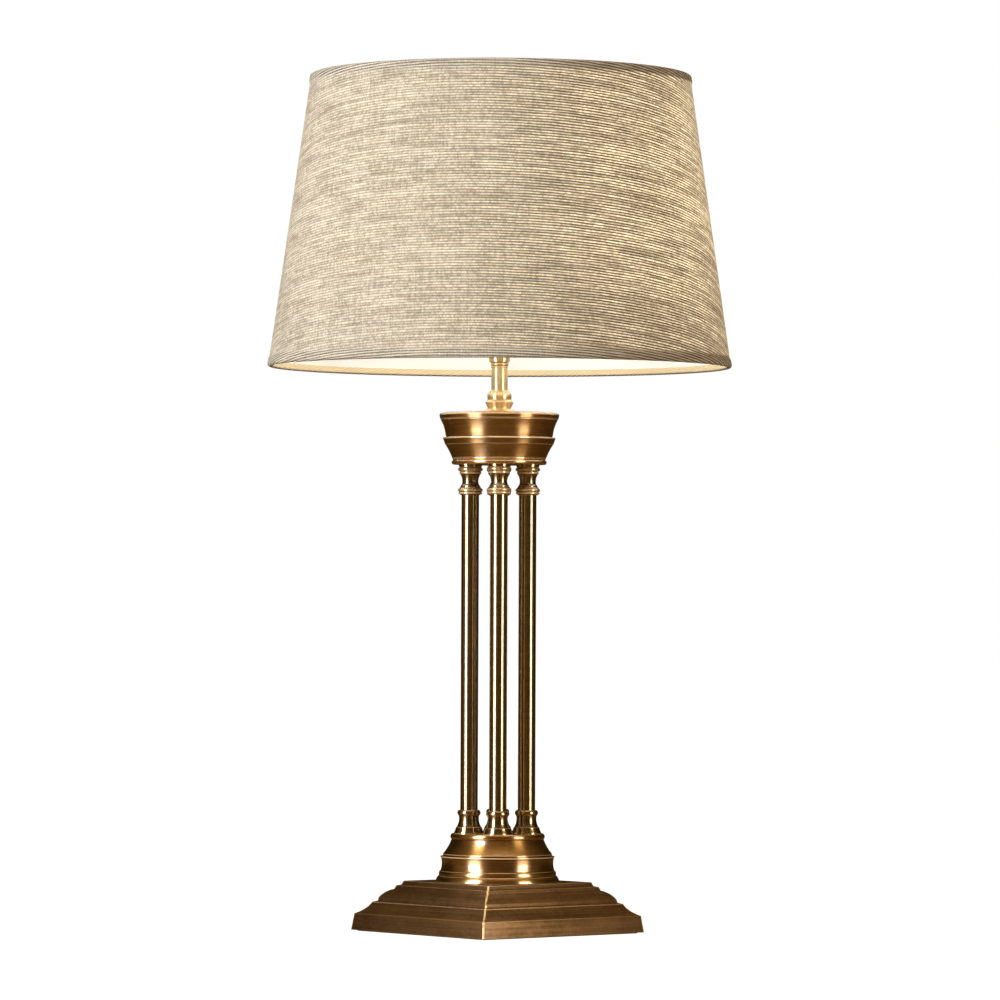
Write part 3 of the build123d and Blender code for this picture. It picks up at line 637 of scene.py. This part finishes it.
# %% Capital
turned("capital_bowl_turning", [
    (0, 0), (35.5, 0), (35.5, 3.2, 0.95), (35.2, 3.4), (35.6, 3.8), (35.8, 4.8, 0.1), (36.1, 5.1),
    (41.1, 15.0, -0.3), (41.5, 15.3), (43.0, 19.4), (42.9, 20.6, 0.2), (40.6, 21.1), (41.2, 22.4),
    (45.0, 34.4, -0.7), (44.7, 34.7), (45.4, 35.0), (46.0, 37.9), (45.7, 38.2), (41.4, 38.2),
    (38.4, 21.5, 0.7), (37.6, 16.0), (32.4, 3.8, 0.8), (31.8, 3.2), (0, 3.2),
], BRASS["turned"], "capital_bowl", steps=144, foot=358.2)
turned("capital_lid_turning", [
    (4.95, -2.0), (40.6, -2.0), (40.6, 0), (45.9, 0), (45.8, 0.4), (41.4, 1.8, 0.25), (4.95, 1.8),
], BRASS["turned"], "capital_lid", steps=144, foot=396.4, corner=0.12)


# %% [markdown]
# ## The neck
# The neck carries the lampholder: a little flange, a collar with a knife edge, a plain tube and a ringed cup.
# It stands in the bulb's own light, and that light is painted into its brass: a brighter, yellower and less
# metallic copy of the others.

# %% Neck
NECK_BORE = 4.95
NECK_PIECES = {     # each with its foot's level and its corners' rounding
    "flange": (398.2, 0.12, [
        (NECK_BORE, 0), (12.7, 0), (12.6, 0.6, 0.1), (9.2, 2.8, 0.45), (NECK_BORE, 2.8),
    ]),
    "collar": (401.0, 0.12, [
        (NECK_BORE, 0), (8.9, 0), (9.1, 1.2), (10.6, 4.5), (10.6, 5.3, 0.15), (9.2, 6.7), (8.8, 6.9),
        (8.7, 12.3, 0.5), (7.5, 12.6), (7.4, 13.3), (6.6, 14.0), (NECK_BORE, 14.0),
    ]),
    "tube": (415.0, 0.1, [(NECK_BORE, 0), (6.25, 0), (6.25, 17.6), (NECK_BORE, 17.6)]),
    "cup": (432.6, 0.12, [
        (NECK_BORE, 0), (6.6, 0), (6.7, 1.1, 0.25), (6.4, 1.3), (6.4, 1.6), (6.8, 1.8), (6.9, 3.3, 0.2),
        (6.5, 3.6), (6.7, 4.0), (7.9, 4.3), (8.3, 8.3), (8.0, 8.9), (NECK_BORE, 8.9),
    ]),
}
for kind, (foot, corner, path) in NECK_PIECES.items():
    node = "neck_" + kind
    turned(node + "_turning", path, BRASS["neck"], node, steps=72, foot=foot, corner=corner)


# %% [markdown]
# ## The square base
# The base is a square bell of cast brass. Its sides step and bow on the way up, and meet in mitres at the
# corners. A square is extruded and drawn in or out, ring by ring: down the inside of the wall, under its rim
# and up the outside. Then the mitres are rounded, and a cutter opens the hole that the mains lead enters by,
# at the back.

# %% Base casting
INNER_WALL = [(48.5, 35.0), (54.0, 30.2), (61.6, 24.0), (64.6, 20.0), (75.4, 12.0), (77.0, 0.8)]
OUTER_WALL = [
    (80.0, 0.8), (78.3, 13.0), (77.6, 13.8, 0.2), (68.7, 21.9, -0.9), (68.1, 22.6, 0.2), (65.6, 23.4),
    (65.1, 25.6), (58.7, 31.7, 0.7), (56.5, 32.5), (55.4, 35.2), (52.5, 35.9), (51.5, 38.3), (51.0, 38.8, 0.15),
]
MITRE_ROUND = 0.75
LONGEST_MITRE = 60.0    # longer edges between two corners run along a side
FLUSH = 0.001           # two places closer than this are the same


def square_shell(name, path):
    """Closed square shell through (half side, height) rings in millimetres, from its ceiling to its top."""
    rings = softened(sampled(path), 0.3)
    deselect()
    bpy.ops.mesh.primitive_plane_add(size=2 * rings[0][0] * MM)
    piece = bpy.context.object
    piece.name = name
    mode("EDIT")
    bpy.ops.transform.translate(value=(0, 0, rings[0][1] * MM))
    for here, there in zip(rings, rings[1:]):
        bpy.ops.mesh.extrude_region_move(TRANSFORM_OT_translate={"value": (0, 0, (there[1] - here[1]) * MM)})
        grow = there[0] / here[0]
        bpy.ops.transform.resize(value=(grow, grow, 1), center_override=(0, 0, there[1] * MM))
    close_shell()
    wear = {(round(half, 3), round(height, 3)): value for (half, height), value in zip(rings, exposure(rings))}
    found = [wear.get((round(abs(v.co.x) / MM, 3), round(v.co.z / MM, 3)), 0.0) for v in piece.data.vertices]
    piece.data.attributes.new("wear", "FLOAT", "POINT").data.foreach_set("value", found)
    return piece


def inside_line(height):
    """Half side of a line between the base's two walls."""
    heights = [(0.0, 78.6), (12.0, 76.9), (21.0, 66.0), (24.0, 63.5), (31.0, 56.0), (38.8, 49.0)]
    for (z0, h0), (z1, h1) in zip(heights, heights[1:]):
        if height <= z1:
            return h0 + (h1 - h0) * (height - z0) / (z1 - z0)
    return 0.0


def round_mitres(piece):
    """Rounds the four outer mitres of a square shell."""
    for edge in piece.data.edges:
        ends = [piece.data.vertices[i].co / MM for i in edge.vertices]
        on_corner = all(abs(abs(c.x) - abs(c.y)) < FLUSH for c in ends)
        outside = all(abs(c.x) > inside_line(c.z) for c in ends)
        edge.select = on_corner and outside and math.dist(*ends) < LONGEST_MITRE
    mode("EDIT")
    bpy.ops.mesh.bevel(offset=MITRE_ROUND * MM, segments=4, profile=0.5, affect="EDGES", clamp_overlap=False)
    mode("OBJECT")


base = square_shell("base_shell", INNER_WALL + OUTER_WALL)
round_mitres(base)
print("base shell:", len(base.data.polygons), "faces")


# %% Lead inlet hole
INLET_HEIGHT = 7.4
BUSH_SEAT = (4.9, 78.3, 81.0)       # radius, and from where to where along Y
BUSH_HOLE = (3.85, 70.0, 79.5)


def cut(piece, cutter):
    """Takes the cutter out of the piece, and the cutter away."""
    take(piece)
    modifier = piece.modifiers.new("cut", "BOOLEAN")
    modifier.operation, modifier.solver, modifier.object = "DIFFERENCE", "EXACT", cutter
    bpy.ops.object.modifier_apply(modifier="cut")
    bpy.data.objects.remove(cutter)


def rod_along_y(radius, near, far):
    deselect()
    bpy.ops.mesh.primitive_cylinder_add(
        vertices=48, radius=radius * MM, depth=(far - near) * MM,
        location=(0, (near + far) / 2 * MM, INLET_HEIGHT * MM), rotation=(math.pi / 2, 0, 0),
    )
    return bpy.context.object


tighten(base)
cut(base, rod_along_y(*BUSH_SEAT))
cut(base, rod_along_y(*BUSH_HOLE))
finish_mesh(base, BRASS["base"])
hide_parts("base_casting")
print("base casting:", len(base.data.polygons), "faces")


# %% [markdown]
# ## The felt
# A pad of baize is glued under the steel cover, so that the lamp doesn't scratch the table. It is cut a
# little smaller than the skirt, and its edge is soft and slightly uneven.

# %% Felt
FELT_HALF, FELT_THICK, FELT_ROUND = 76.2, 1.2, 0.35
FELT_UNEVEN = 0.0016    # share of its size by which the edge wanders in
deselect()
bpy.ops.mesh.primitive_plane_add(size=2 * FELT_HALF * MM)
felt = bpy.context.object
felt.name = "felt_sheet"
mode("EDIT")
bpy.ops.mesh.subdivide(number_cuts=23)
bpy.ops.mesh.extrude_region_move(TRANSFORM_OT_translate={"value": (0, 0, FELT_THICK * MM)})
close_shell()
for edge in felt.data.edges:
    start, end = (felt.data.vertices[i].co / MM for i in edge.vertices)
    level = abs(start.z - end.z) < FLUSH
    on_side = any(abs(start[k] - end[k]) < FLUSH and abs(start[k]) > FELT_HALF - 0.01 for k in (0, 1))
    edge.select = level and on_side
mode("EDIT")
bpy.ops.mesh.bevel(offset=FELT_ROUND * MM, segments=3, affect="EDGES")
mode("OBJECT")
for vertex in felt.data.vertices:
    for k in (0, 1):
        if abs(vertex.co[k]) > (FELT_HALF - 1.0) * MM:
            along = vertex.co[1 - k] / MM
            wave = math.sin(along * 0.31 + k) * math.sin(along * 0.113 + 2.0 * k)
            vertex.co[k] *= 1 - FELT_UNEVEN * (1 + wave)
print("felt:", len(felt.data.polygons), "faces")


# %% [markdown]
# ## Linen
# The shade is coarse natural linen over a white film. It is a plain weave: each thick weft thread passes over
# one thin warp thread and under the next. The yarn is hand-spun in look, so some lengths of it are thick and
# brown, which are called slubs. One group draws the weave from the cloth's own flat measure, in metres, so
# that its threads keep one size all over, and gives the height, the gaps, the slubs and the tone of each
# thread.

# %% Group: plain weave
bench, given, result = new_group(
    "plain_weave",
    [
        ("Cloth", "Vector", (0, 0, 0)), ("Weft", "Float", 0.00205),
        ("Warp", "Float", 0.0011), ("Slubs", "Float", 0.5),
    ],
    [("Height", "Float"), ("Gap", "Float"), ("Slub", "Float"), ("Tone", "Float"), ("Sheer", "Float")],
)
u, v, _ = bench.split(given["Cloth"])


def wander(along, along_scale, across, across_scale, seed=0.0, detail=2.0):
    """Noise that is stretched along the cloth by one scale and across it by another."""
    place = bench.join(bench.times(along, along_scale), bench.times(across, across_scale), seed)
    return bench.noise(place, detail=detail)


weft = bench.math("DIVIDE", bench.shifted(v, wander(u, 32.0, v, 75.0), 0.0008), given["Weft"])
warp = bench.math("DIVIDE", bench.shifted(u, wander(u, 90.0, v, 20.0, 3.7), 0.0011), given["Warp"])
row, column = bench.math("FLOOR", weft), bench.math("FLOOR", warp)
across_weft = bench.less(bench.less(weft, row), 0.5)
across_weft = bench.shifted(across_weft, wander(u, 75.0, row, 6.13, 4.4), 0.28)
across_warp = bench.less(bench.less(warp, column), 0.5)
across_warp = bench.shifted(across_warp, wander(column, 1.93, v, 190.0, 8.2), 0.6)
odd = bench.math("FLOORED_MODULO", bench.plus(row, column), 2.0)
over = bench.less(1.0, bench.times(odd, 2.0))
knots = wander(u, 34.0, row, 2.73, 5.5, 2.5)
slub = bench.times(bench.span(knots, 0.56, 0.68), given["Slubs"], bench.span(across_weft, -0.2, 0.2))
weft_width = bench.plus(bench.span(wander(u, 60.0, row, 3.17, 9.1), 0.3, 0.7, 0.55, 0.80), slub)
WARP_WIDTH = 0.72


def body(across, width):
    """Round section of a thread: 1 on its middle, 0 at its sides."""
    share = bench.math("DIVIDE", bench.times(across, 2.0), width)
    return bench.math("SUBTRACT", 1.0, bench.times(share, share), clamp=True)


def lifted(across, side, amount):
    """Height of a thread that rises over the one that it crosses, or dips under it."""
    swing = bench.math("COSINE", bench.times(across, math.pi))
    return bench.plus(0.6, bench.times(swing, side, amount))


weft_height = bench.times(body(across_weft, weft_width), lifted(across_warp, over, 0.2))
warp_height = bench.times(body(across_warp, WARP_WIDTH), lifted(across_weft, bench.times(over, -1.0), 0.25))
bench.feed(result["Height"], bench.larger(weft_height, warp_height))
hidden = bench.less(1.0, bench.times(warp_height, 0.28))
bench.feed(result["Gap"], bench.times(bench.span(weft_height, 0.12, 0.42, 1.0, 0.0), hidden))
bench.feed(result["Slub"], slub)
fuzz = wander(u, 900.0, v, 700.0, 6.6, 3.0)
dashes = wander(u, 430.0, row, 7.31, 3.3, 1.0)
tone = bench.shifted(wander(u, 26.0, row, 5.31, 0.0, 3.0), fuzz, 0.9)
tone = bench.shifted(bench.shifted(tone, dashes, 0.5), wander(column, 1.37, v, 7.0, 2.2), 0.35)
bench.feed(result["Tone"], bench.span(tone, 0.25, 0.75))
sheer = bench.span(wander(u, 20.0, row, 4.11, 1.7, 2.5), 0.33, 0.67, 0.50, 1.28)
bench.feed(result["Sheer"], bench.times(sheer, bench.span(dashes, 0.3, 0.7, 0.68, 1.32)))
print("plain_weave:", len(bench.tree.nodes), "nodes")


# %% Linen colour
SHADE_FOOT, SHADE_TOP = 432.6, 657.0
FOOT_RADIUS, TOP_RADIUS = 177.6, 145.5
SLOPE = (TOP_RADIUS - FOOT_RADIUS) / (SHADE_TOP - SHADE_FOOT)
HEM_LOW, HEM_HIGH = 7.6, 6.2
BOX_LIT_SIDE = -60.0        # degrees from the camera to the side that the left soft box lights, where the painted glow is weakest and the cloth's painted shade lightest

bench, shader, LINEN = new_material("linen_cloth", Roughness=0.85, Sheen_Weight=0.15, Sheen_Roughness=0.5)
cloth = bench.add("Attribute", attribute_name="cloth").outputs["Vector"]
weave_group = bpy.data.node_groups["plain_weave"]
weave = bench.add("Group", {"Cloth": cloth, "Slubs": 0.8}, node_tree=weave_group).outputs
place = bench.add("TexCoord").outputs["Object"]
height = bench.split(place)["Z"]
low_hem = bench.span(height, (SHADE_FOOT + HEM_LOW - 1.0) * MM, (SHADE_FOOT + HEM_LOW + 2.5) * MM, 1.0, 0.0)
high_hem = bench.span(height, (SHADE_TOP - HEM_HIGH - 1.2) * MM, (SHADE_TOP - HEM_HIGH + 0.6) * MM, 0.0, 1.0)
hem = bench.larger(low_hem, high_hem)
level_place = bench.vector("MULTIPLY", place, (1.0, 1.0, 0.0))
box_lit_side = bench.vector("DOT_PRODUCT", bench.vector("NORMALIZE", level_place), toward(BOX_LIT_SIDE))

yarn = bench.mix(weave["Tone"], rgb(0.36, 0.31, 0.235), rgb(0.69, 0.615, 0.50))
yarn = bench.mix(bench.times(weave["Slub"], 0.75), yarn, rgb(0.19, 0.135, 0.08))
yarn = bench.mix(bench.times(hem, 0.35), yarn, rgb(0.88, 0.80, 0.68))
# Painted shade: the gaps between the weft threads, where the thin warp lies deep, are painted near black, less
# dark on the side that the left soft box lights; on the hems the low places of the weave are painted dark too.
painted_gap_shade = bench.times(weave["Gap"], bench.span(box_lit_side, 0.0, 1.02, 1.0, 0.26))
pits = bench.larger(bench.span(weave["Height"], 0.15, 0.55, 0.95, 0.0), bench.times(weave["Gap"], 0.6))
painted_gap_shade = bench.larger(painted_gap_shade, bench.times(hem, pits))
colour = bench.mix(painted_gap_shade, yarn, rgb(0.035, 0.024, 0.014))
# Painted shade: the cloth is darkened towards the right and the back, away from the side that the left soft box
# lights.
colour = bench.mix(bench.span(box_lit_side, -0.3, 0.8, 0.38, 0.0), colour, rgb(0.16, 0.095, 0.040))
face_radius = bench.math("MULTIPLY_ADD", height, SLOPE, (FOOT_RADIUS - SLOPE * SHADE_FOOT) * MM)
depth = bench.less(face_radius, bench.vector("LENGTH", level_place))
tucked = bench.span(height, (SHADE_FOOT + 0.5) * MM, (SHADE_FOOT + 1.6) * MM)
tucked = bench.times(bench.span(depth, 1.6 * MM, 2.4 * MM), tucked)
# Painted light: the tucked strip inside the foot is painted a plain gold, for the bulb's light that falls on
# it.
colour = bench.mix(bench.times(tucked, 0.75), colour, rgb(0.50, 0.42, 0.30))
bench.feed(shader.inputs["Base Color"], colour)
bump(bench, shader, weave["Height"], 0.00035, 0.8)
print("linen_cloth in colour:", len(bench.tree.nodes), "nodes")


# %% [markdown]
# ## Light through the linen
# The lit bulb's light through the cloth is painted on it as a glow. It comes through thin yarn, and less
# through slubs, hems and the folded edge. Between the weft threads lie the thin, deep warp threads, which stay
# dark. The painted glow is weaker at the foot of the shade and on the side that the left soft box lights, where
# the photograph hardly shows it.

# %% Linen glow
LEAST_PAINTED_GLOW = 0.16         # share of the painted glow that is left on the side that the left soft box lights
PAINTED_GLOW_STRENGTH = 1.10

clouds = bench.noise(place, 26.0, 3.0, 0.55)
streaks = bench.noise(bench.vector("MULTIPLY", cloth, (14.0, 85.0, 0.0)), 1.0, 3.0, 0.6)
uneven = bench.times(bench.span(clouds, 0.3, 0.7, 0.93, 1.06), bench.span(streaks, 0.3, 0.7, 0.88, 1.08))
# Painted light: the glow is emission painted on the cloth for the bulb's light through it; it fades towards the
# foot and the top, and is weakest on the side that the left soft box lights.
reach = bench.times(bench.span(height, 0.428, 0.530, 0.55, 1.0), bench.span(height, 0.60, 0.66, 1.0, 0.85))
side = bench.span(box_lit_side, -0.6, 0.85, 1.0, LEAST_PAINTED_GLOW)
side = bench.times(side, bench.span(box_lit_side, -1.0, -0.15, 0.62, 1.0))
open_weave = bench.less(1.0, bench.times(weave["Gap"], bench.span(box_lit_side, -0.75, -0.35, 0.62, 1.0)))
plain_yarn = bench.less(1.0, bench.times(weave["Slub"], 0.9))
painted_glow = bench.times(reach, open_weave, plain_yarn, uneven, side, weave["Sheer"], bench.less(1.0, hem))
painted_glow_colour = bench.mix(painted_glow, rgb(0.0, 0.0, 0.0), rgb(1.0, 0.79, 0.50))
# Painted glow on the tucked strip, for the bulb's light that falls on it.
painted_glow_colour = bench.mix(tucked, painted_glow_colour, rgb(0.44, 0.34, 0.18))
bench.feed(shader.inputs["Emission Color"], painted_glow_colour)
bench.feed(shader.inputs["Emission Strength"], PAINTED_GLOW_STRENGTH)
print("linen_cloth with its glow:", len(bench.tree.nodes), "nodes")


# %% [markdown]
# ## The shade
# The cloth goes round the frame once. Its edges are rolled over the two rim wires and tucked in against the
# liner, which shows from below as a narrow gold strip. The outline has that roll at both ends, and is spun
# like a turning, but each point also keeps how far along the cloth it lies, because the weave has to follow
# the cloth over the roll. The cone unrolls to a part of a ring, and the threads are straight in that flat
# shape. That is why they drop towards both sides of the lamp.

# %% Linen outline
LINEN_THICK = 0.6
ROLL_DEPTH, ROLL_RISE, ROLL_RADIUS = 1.35, 2.2, 2.2


def cloth_point(edge, way, depth, rise):
    """Radius and height of a point, from its depth under the cloth and its rise from an edge."""
    height = edge + way * rise
    return FOOT_RADIUS + SLOPE * (height - SHADE_FOOT) - depth, height


def rolled_edge(edge, way):
    """The cloth's outline from its outer face, round the rim wire, to its inner face."""
    left, right, inner = ROLL_DEPTH - ROLL_RADIUS, ROLL_DEPTH + ROLL_RADIUS, ROLL_RADIUS - LINEN_THICK
    path = [
        (0, 8.0), (left, 5.0, 0.1), (left, ROLL_RISE), (right, ROLL_RISE, ROLL_RADIUS), (2.5, 5.5), (1.9, 5.2),
        (right - LINEN_THICK, ROLL_RISE), (left + LINEN_THICK, ROLL_RISE, -inner), (left + LINEN_THICK, 4.8),
        (LINEN_THICK, 8.0),
    ]
    return sampled([
        (*cloth_point(edge, way, depth, rise), *(-way * bow for bow in bows)) for depth, rise, *bows in path
    ])


def divided(start, end, parts):
    return [tuple(start[k] + (end[k] - start[k]) * i / parts for k in (0, 1)) for i in range(1, parts)]


lower, upper = rolled_edge(SHADE_FOOT, 1), rolled_edge(SHADE_TOP, -1)
FACE_PARTS = 26
outside = divided(lower[0], upper[0], FACE_PARTS)
inside = divided(upper[-1], lower[-1], FACE_PARTS)
linen_outline = outside + upper + inside + lower[::-1]
print("linen outline:", len(linen_outline), "points")


# %% Linen piece
GRAIN = math.radians(-51.0)
SEAM = math.radians(90.0)
SLANT = math.hypot(1.0, SLOPE)
SPREAD = abs(SLOPE) / SLANT


def along_cloth(points):
    """Distance along the cloth, in metres, of each outline point: both faces of the cloth share it."""
    values = {}
    for run, way in ((outside + upper, 1), (outside[:1] + lower, -1)):
        travel = 0.0
        for before, here in zip(run, run[1:]):
            values[before] = way * travel
            travel += math.dist(before, here) * MM
        values[run[-1]] = way * travel
    for point, twin in zip(inside, outside[::-1]):
        values[point] = values[twin]
    return [values[point] for point in points]


def unroll(piece):
    """Writes each corner's place on the flat cloth, in metres, as the attribute that the weave reads. Gives
    back how far along the cloth the points lie."""
    mesh = piece.data
    along = [0.0] * len(mesh.vertices)
    mesh.attributes["along"].data.foreach_get("value", along)
    foot = math.hypot(outside[0][0], outside[0][0] / abs(SLOPE)) * MM
    places = []
    for face in mesh.polygons:
        middle = math.atan2(face.center.y, face.center.x)
        middle = SEAM - (SEAM - middle) % (2 * math.pi)
        for index in face.loop_indices:
            vertex = mesh.loops[index].vertex_index
            co = mesh.vertices[vertex].co
            angle = math.atan2(co.y, co.x)
            angle = middle + (angle - middle + math.pi) % (2 * math.pi) - math.pi
            turn = (angle - GRAIN) * SPREAD
            reach = foot - along[vertex]
            places += (reach * math.sin(turn), -reach * math.cos(turn), 0.0)
    mesh.attributes.new("cloth", "FLOAT_VECTOR", "CORNER").data.foreach_set("vector", places)
    return along


linen = spun("linen", linen_outline, 192, "along", along_cloth(linen_outline))
finish_mesh(linen, LINEN, "shade", smooth=60)
along = unroll(linen)
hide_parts("shade_linen")
print(f"linen: {len(linen.data.polygons)} faces, cloth from {min(along):.4f} to {max(along):.4f} m")


# %% [markdown]
# ## The lap
# Behind the lamp, the end of the cloth is folded under and glued over its start. That lap is a narrow strip
# that runs up the shade, so a flat grid is laid along it, bent onto the cone, and given its thickness.

# %% Lap
LAP_WIDTH, LAP_THICK, LAP_PROUD = 10.0, 0.3, 0.45
LAP_EDGE, LAP_DROP = 1.3, 0.6       # how wide its soft edges are, and how far they sink
LAP_LOW, LAP_HIGH = SHADE_FOOT + 8.0, SHADE_TOP - 8.0
deselect()
bpy.ops.mesh.primitive_grid_add(x_subdivisions=8, y_subdivisions=40, size=1.0)
lap = bpy.context.object
lap.name = "linen_lap"
store = lap.data.attributes.new("along", "FLOAT", "POINT")
for vertex in lap.data.vertices:
    height = LAP_LOW + (LAP_HIGH - LAP_LOW) * (vertex.co.y + 0.5)
    side = vertex.co.x * LAP_WIDTH
    near_edge = max(0.0, abs(side) - (LAP_WIDTH / 2 - LAP_EDGE)) / LAP_EDGE
    radius = cloth_point(SHADE_FOOT, 1, -LAP_PROUD, height - SHADE_FOOT)[0] - LAP_DROP * near_edge**2
    angle = SEAM - side / radius
    store.data[vertex.index].value = (height - outside[0][1]) * SLANT * MM
    vertex.co = (radius * math.cos(angle) * MM, radius * math.sin(angle) * MM, height * MM)
modifier = lap.modifiers.new("thickness", "SOLIDIFY")
modifier.thickness, modifier.offset = LAP_THICK * MM, -1.0
bpy.ops.object.modifier_apply(modifier="thickness")
finish_mesh(lap, LINEN, "shade", smooth=60)
unroll(lap)
print("lap:", len(lap.data.polygons), "faces")


# %% [markdown]
# ## The liner
# A stiff white film is bonded inside the linen and reaches to the tucked edges. It takes the bulb's light and
# glows a creamy white.

# %% Liner
bench, shader, FILM = new_material("liner_film", Roughness=0.45)
place = bench.add("TexCoord").outputs["Object"]
height = bench.split(place)["Z"]
clouds = bench.noise(place, 60.0, 3.0)
bench.feed(shader.inputs["Base Color"], bench.mix(clouds, rgb(0.86, 0.83, 0.76), rgb(0.93, 0.91, 0.85)))
# Painted light: the bulb's light on the film is painted on as emission, weaker towards its foot and its top.
low_glow = bench.span(height, 0.430, 0.55, 0.75, 1.0)
high_glow = bench.span(height, 0.57, 0.66, 1.0, 0.70)
painted_glow = bench.times(low_glow, high_glow, bench.span(clouds, 0.3, 0.7, 0.94, 1.04))
bench.feed(shader.inputs["Emission Color"], bench.mix(painted_glow, rgb(0.0, 0.0, 0.0), rgb(0.80, 0.88, 1.0)))
bench.feed(shader.inputs["Emission Strength"], 0.44)
bump(bench, shader, bench.noise(place, 900.0, 2.0), 0.00005)

LINER_DEPTH, LINER_THICK, LINER_RISE = 0.62, 0.48, 4.3
LINER_PARTS = 12
(low_out, low_in), (high_out, high_in) = (
    [cloth_point(edge, way, depth, LINER_RISE) for depth in (LINER_DEPTH, LINER_DEPTH + LINER_THICK)]
    for edge, way in ((SHADE_FOOT, 1), (SHADE_TOP, -1))
)
liner_outline = [
    low_in, low_out, *divided(low_out, high_out, LINER_PARTS),
    high_out, high_in, *divided(high_in, low_in, LINER_PARTS),
]
liner = spun("liner", liner_outline, 192, "wear", exposure(liner_outline))
finish_mesh(liner, FILM, "shade", smooth=60)
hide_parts("shade_liner")
print("liner:", len(liner.data.polygons), "faces")


# %% [markdown]
# ## The bulb
# The bulb is a frosted globe that is switched on. It is the one real light inside the shade: it shines on the
# liner, on the neck and on the lid of the capital. Its glass looks a little less bright towards its edge, as
# a frosted bulb does.

# %% Bulb
bench, shader, GLOBE = new_material("frosted_globe", Roughness=0.35, Coat_Weight=0.5, Coat_Roughness=0.08)
place = bench.add("TexCoord").outputs["Object"]
frost = bench.noise(place, 700.0, 3.0)
bench.feed(shader.inputs["Base Color"], bench.mix(frost, rgb(0.90, 0.86, 0.78), rgb(0.97, 0.94, 0.88)))
facing = bench.add("LayerWeight", {"Blend": 0.35}).outputs["Facing"]
neck_shade = bench.span(bench.split(place)["Z"], 0.492, 0.522, 0.35, 1.0)
edge = bench.mix(facing, rgb(1.0, 0.86, 0.62), rgb(0.82, 0.58, 0.32))
bench.feed(shader.inputs["Emission Color"], bench.mix(neck_shade, rgb(0.20, 0.12, 0.05), edge))
bench.feed(shader.inputs["Emission Strength"], 9.0)
bump(bench, shader, frost, 0.00004)

GLOBE_RADIUS, GLOBE_CENTRE, GLASS_FOOT, GLASS_THICK = 30.0, 546.3, 492.5, 1.0
JOIN = -48      # degrees from the globe's middle down to where its neck begins
ROUND_STEPS = 28


def pear(inset):
    """Outline of the globe and its neck, from the foot to the crown."""
    radius = GLOBE_RADIUS - inset
    join = math.radians(JOIN)
    side = (radius * math.cos(join), GLOBE_CENTRE + radius * math.sin(join))
    neck = sampled([(12.75 - inset, GLASS_FOOT), (13.15 - inset, GLASS_FOOT + 6), (*side, -0.9)])
    angles = [math.radians(JOIN + (90 - JOIN) * i / ROUND_STEPS) for i in range(1, ROUND_STEPS + 1)]
    return neck + [(max(0.0, radius * math.cos(a)), GLOBE_CENTRE + radius * math.sin(a)) for a in angles]


glass = pear(0) + pear(GLASS_THICK)[::-1]
globe = spun("bulb_globe", glass, 64, "wear", exposure(glass))
finish_mesh(globe, GLOBE, "bulb", smooth=50)
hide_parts("bulb_glass")
print("globe:", len(globe.data.polygons), "faces")


# %% [markdown]
# ## Everything else
# The rods, nuts, wires, lampholder and screws keep their solids. Each gets the finish of its own material:
# zinc plate with a faint spangle, white powder coat with orange peel, glazed porcelain, moulded plastic,
# rubber sheath, cast iron and felt.

# %% Finishes
def finish(name, light, dark, rough, scale, depth, detail=3.0, **uniform):
    """A material whose colour and roughness wander between two values, with a bump at the same scale."""
    bench, shader, material = new_material(name, **uniform)
    place = bench.add("TexCoord").outputs["Object"]
    grain = bench.noise(place, scale, detail, 0.6)
    clouds = bench.noise(place, scale * 0.11, 2.0)
    share = bench.span(bench.plus(bench.times(grain, 0.6), bench.times(clouds, 0.4)), 0.35, 0.65)
    bench.feed(shader.inputs["Base Color"], bench.mix(share, dark, light))
    bench.feed(shader.inputs["Roughness"], bench.span(grain, 0.3, 0.7, rough[0], rough[1]))
    bump(bench, shader, grain, depth)
    return material


bright = brass("brass_bright", 0.12, 0.14, 0.30, clouds=0.3, lines=1500.0, radial=0.7, depth=0.00001,
               bright=rgb(0.85, 0.62, 0.27), dark=rgb(0.42, 0.26, 0.09))
FINISHES = {
    "antique_brass": BRASS["turned"],
    "bright_brass": bright,
    "zinc_steel": finish("zinc_plate", rgb(0.70, 0.70, 0.68), rgb(0.50, 0.51, 0.52), (0.25, 0.42), 500, 0.00002,
                         Metallic=1.0),
    "white_wire": finish("white_powder_coat", rgb(0.88, 0.87, 0.83), rgb(0.78, 0.77, 0.72), (0.30, 0.45), 900,
                         0.00004),
    "iron_weight": finish("cast_iron", rgb(0.20, 0.19, 0.18), rgb(0.07, 0.07, 0.07), (0.55, 0.8), 300, 0.0003,
                          Metallic=0.6),
    "felt": finish("brown_baize", rgb(0.17, 0.125, 0.09), rgb(0.075, 0.055, 0.04), (0.85, 1.0), 1400, 0.0004,
                   detail=5.0, Sheen_Weight=0.5, Sheen_Roughness=0.6),
    "porcelain": finish("glazed_porcelain", rgb(0.93, 0.92, 0.89), rgb(0.84, 0.83, 0.79), (0.08, 0.16), 140,
                        0.00003, Coat_Weight=0.6),
    "dark_plastic": finish("black_moulding", rgb(0.060, 0.055, 0.050), rgb(0.030, 0.027, 0.025), (0.38, 0.55),
                           1100, 0.00004),
    "pale_plastic": finish("cream_moulding", rgb(0.86, 0.84, 0.78), rgb(0.76, 0.73, 0.66), (0.35, 0.5), 900,
                           0.00003),
    "lead_sheath": finish("gold_sheath", rgb(0.36, 0.27, 0.15), rgb(0.22, 0.16, 0.08), (0.4, 0.6), 800,
                          0.00004),
    "bulb_metal": finish("pressed_aluminium", rgb(0.82, 0.82, 0.80), rgb(0.62, 0.62, 0.61), (0.18, 0.34), 600,
                         0.00002, Metallic=1.0),
    "bulb_glass": GLOBE,
    "linen": LINEN,
    "liner": FILM,
}
finish_mesh(felt, FINISHES["felt"], smooth=50)
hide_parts("felt_pad")
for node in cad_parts.values():
    for material_slot in node.material_slots:
        material_slot.material = FINISHES[material_slot.material.name]
print("finished", len(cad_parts), "solids in", len(FINISHES), "finishes")
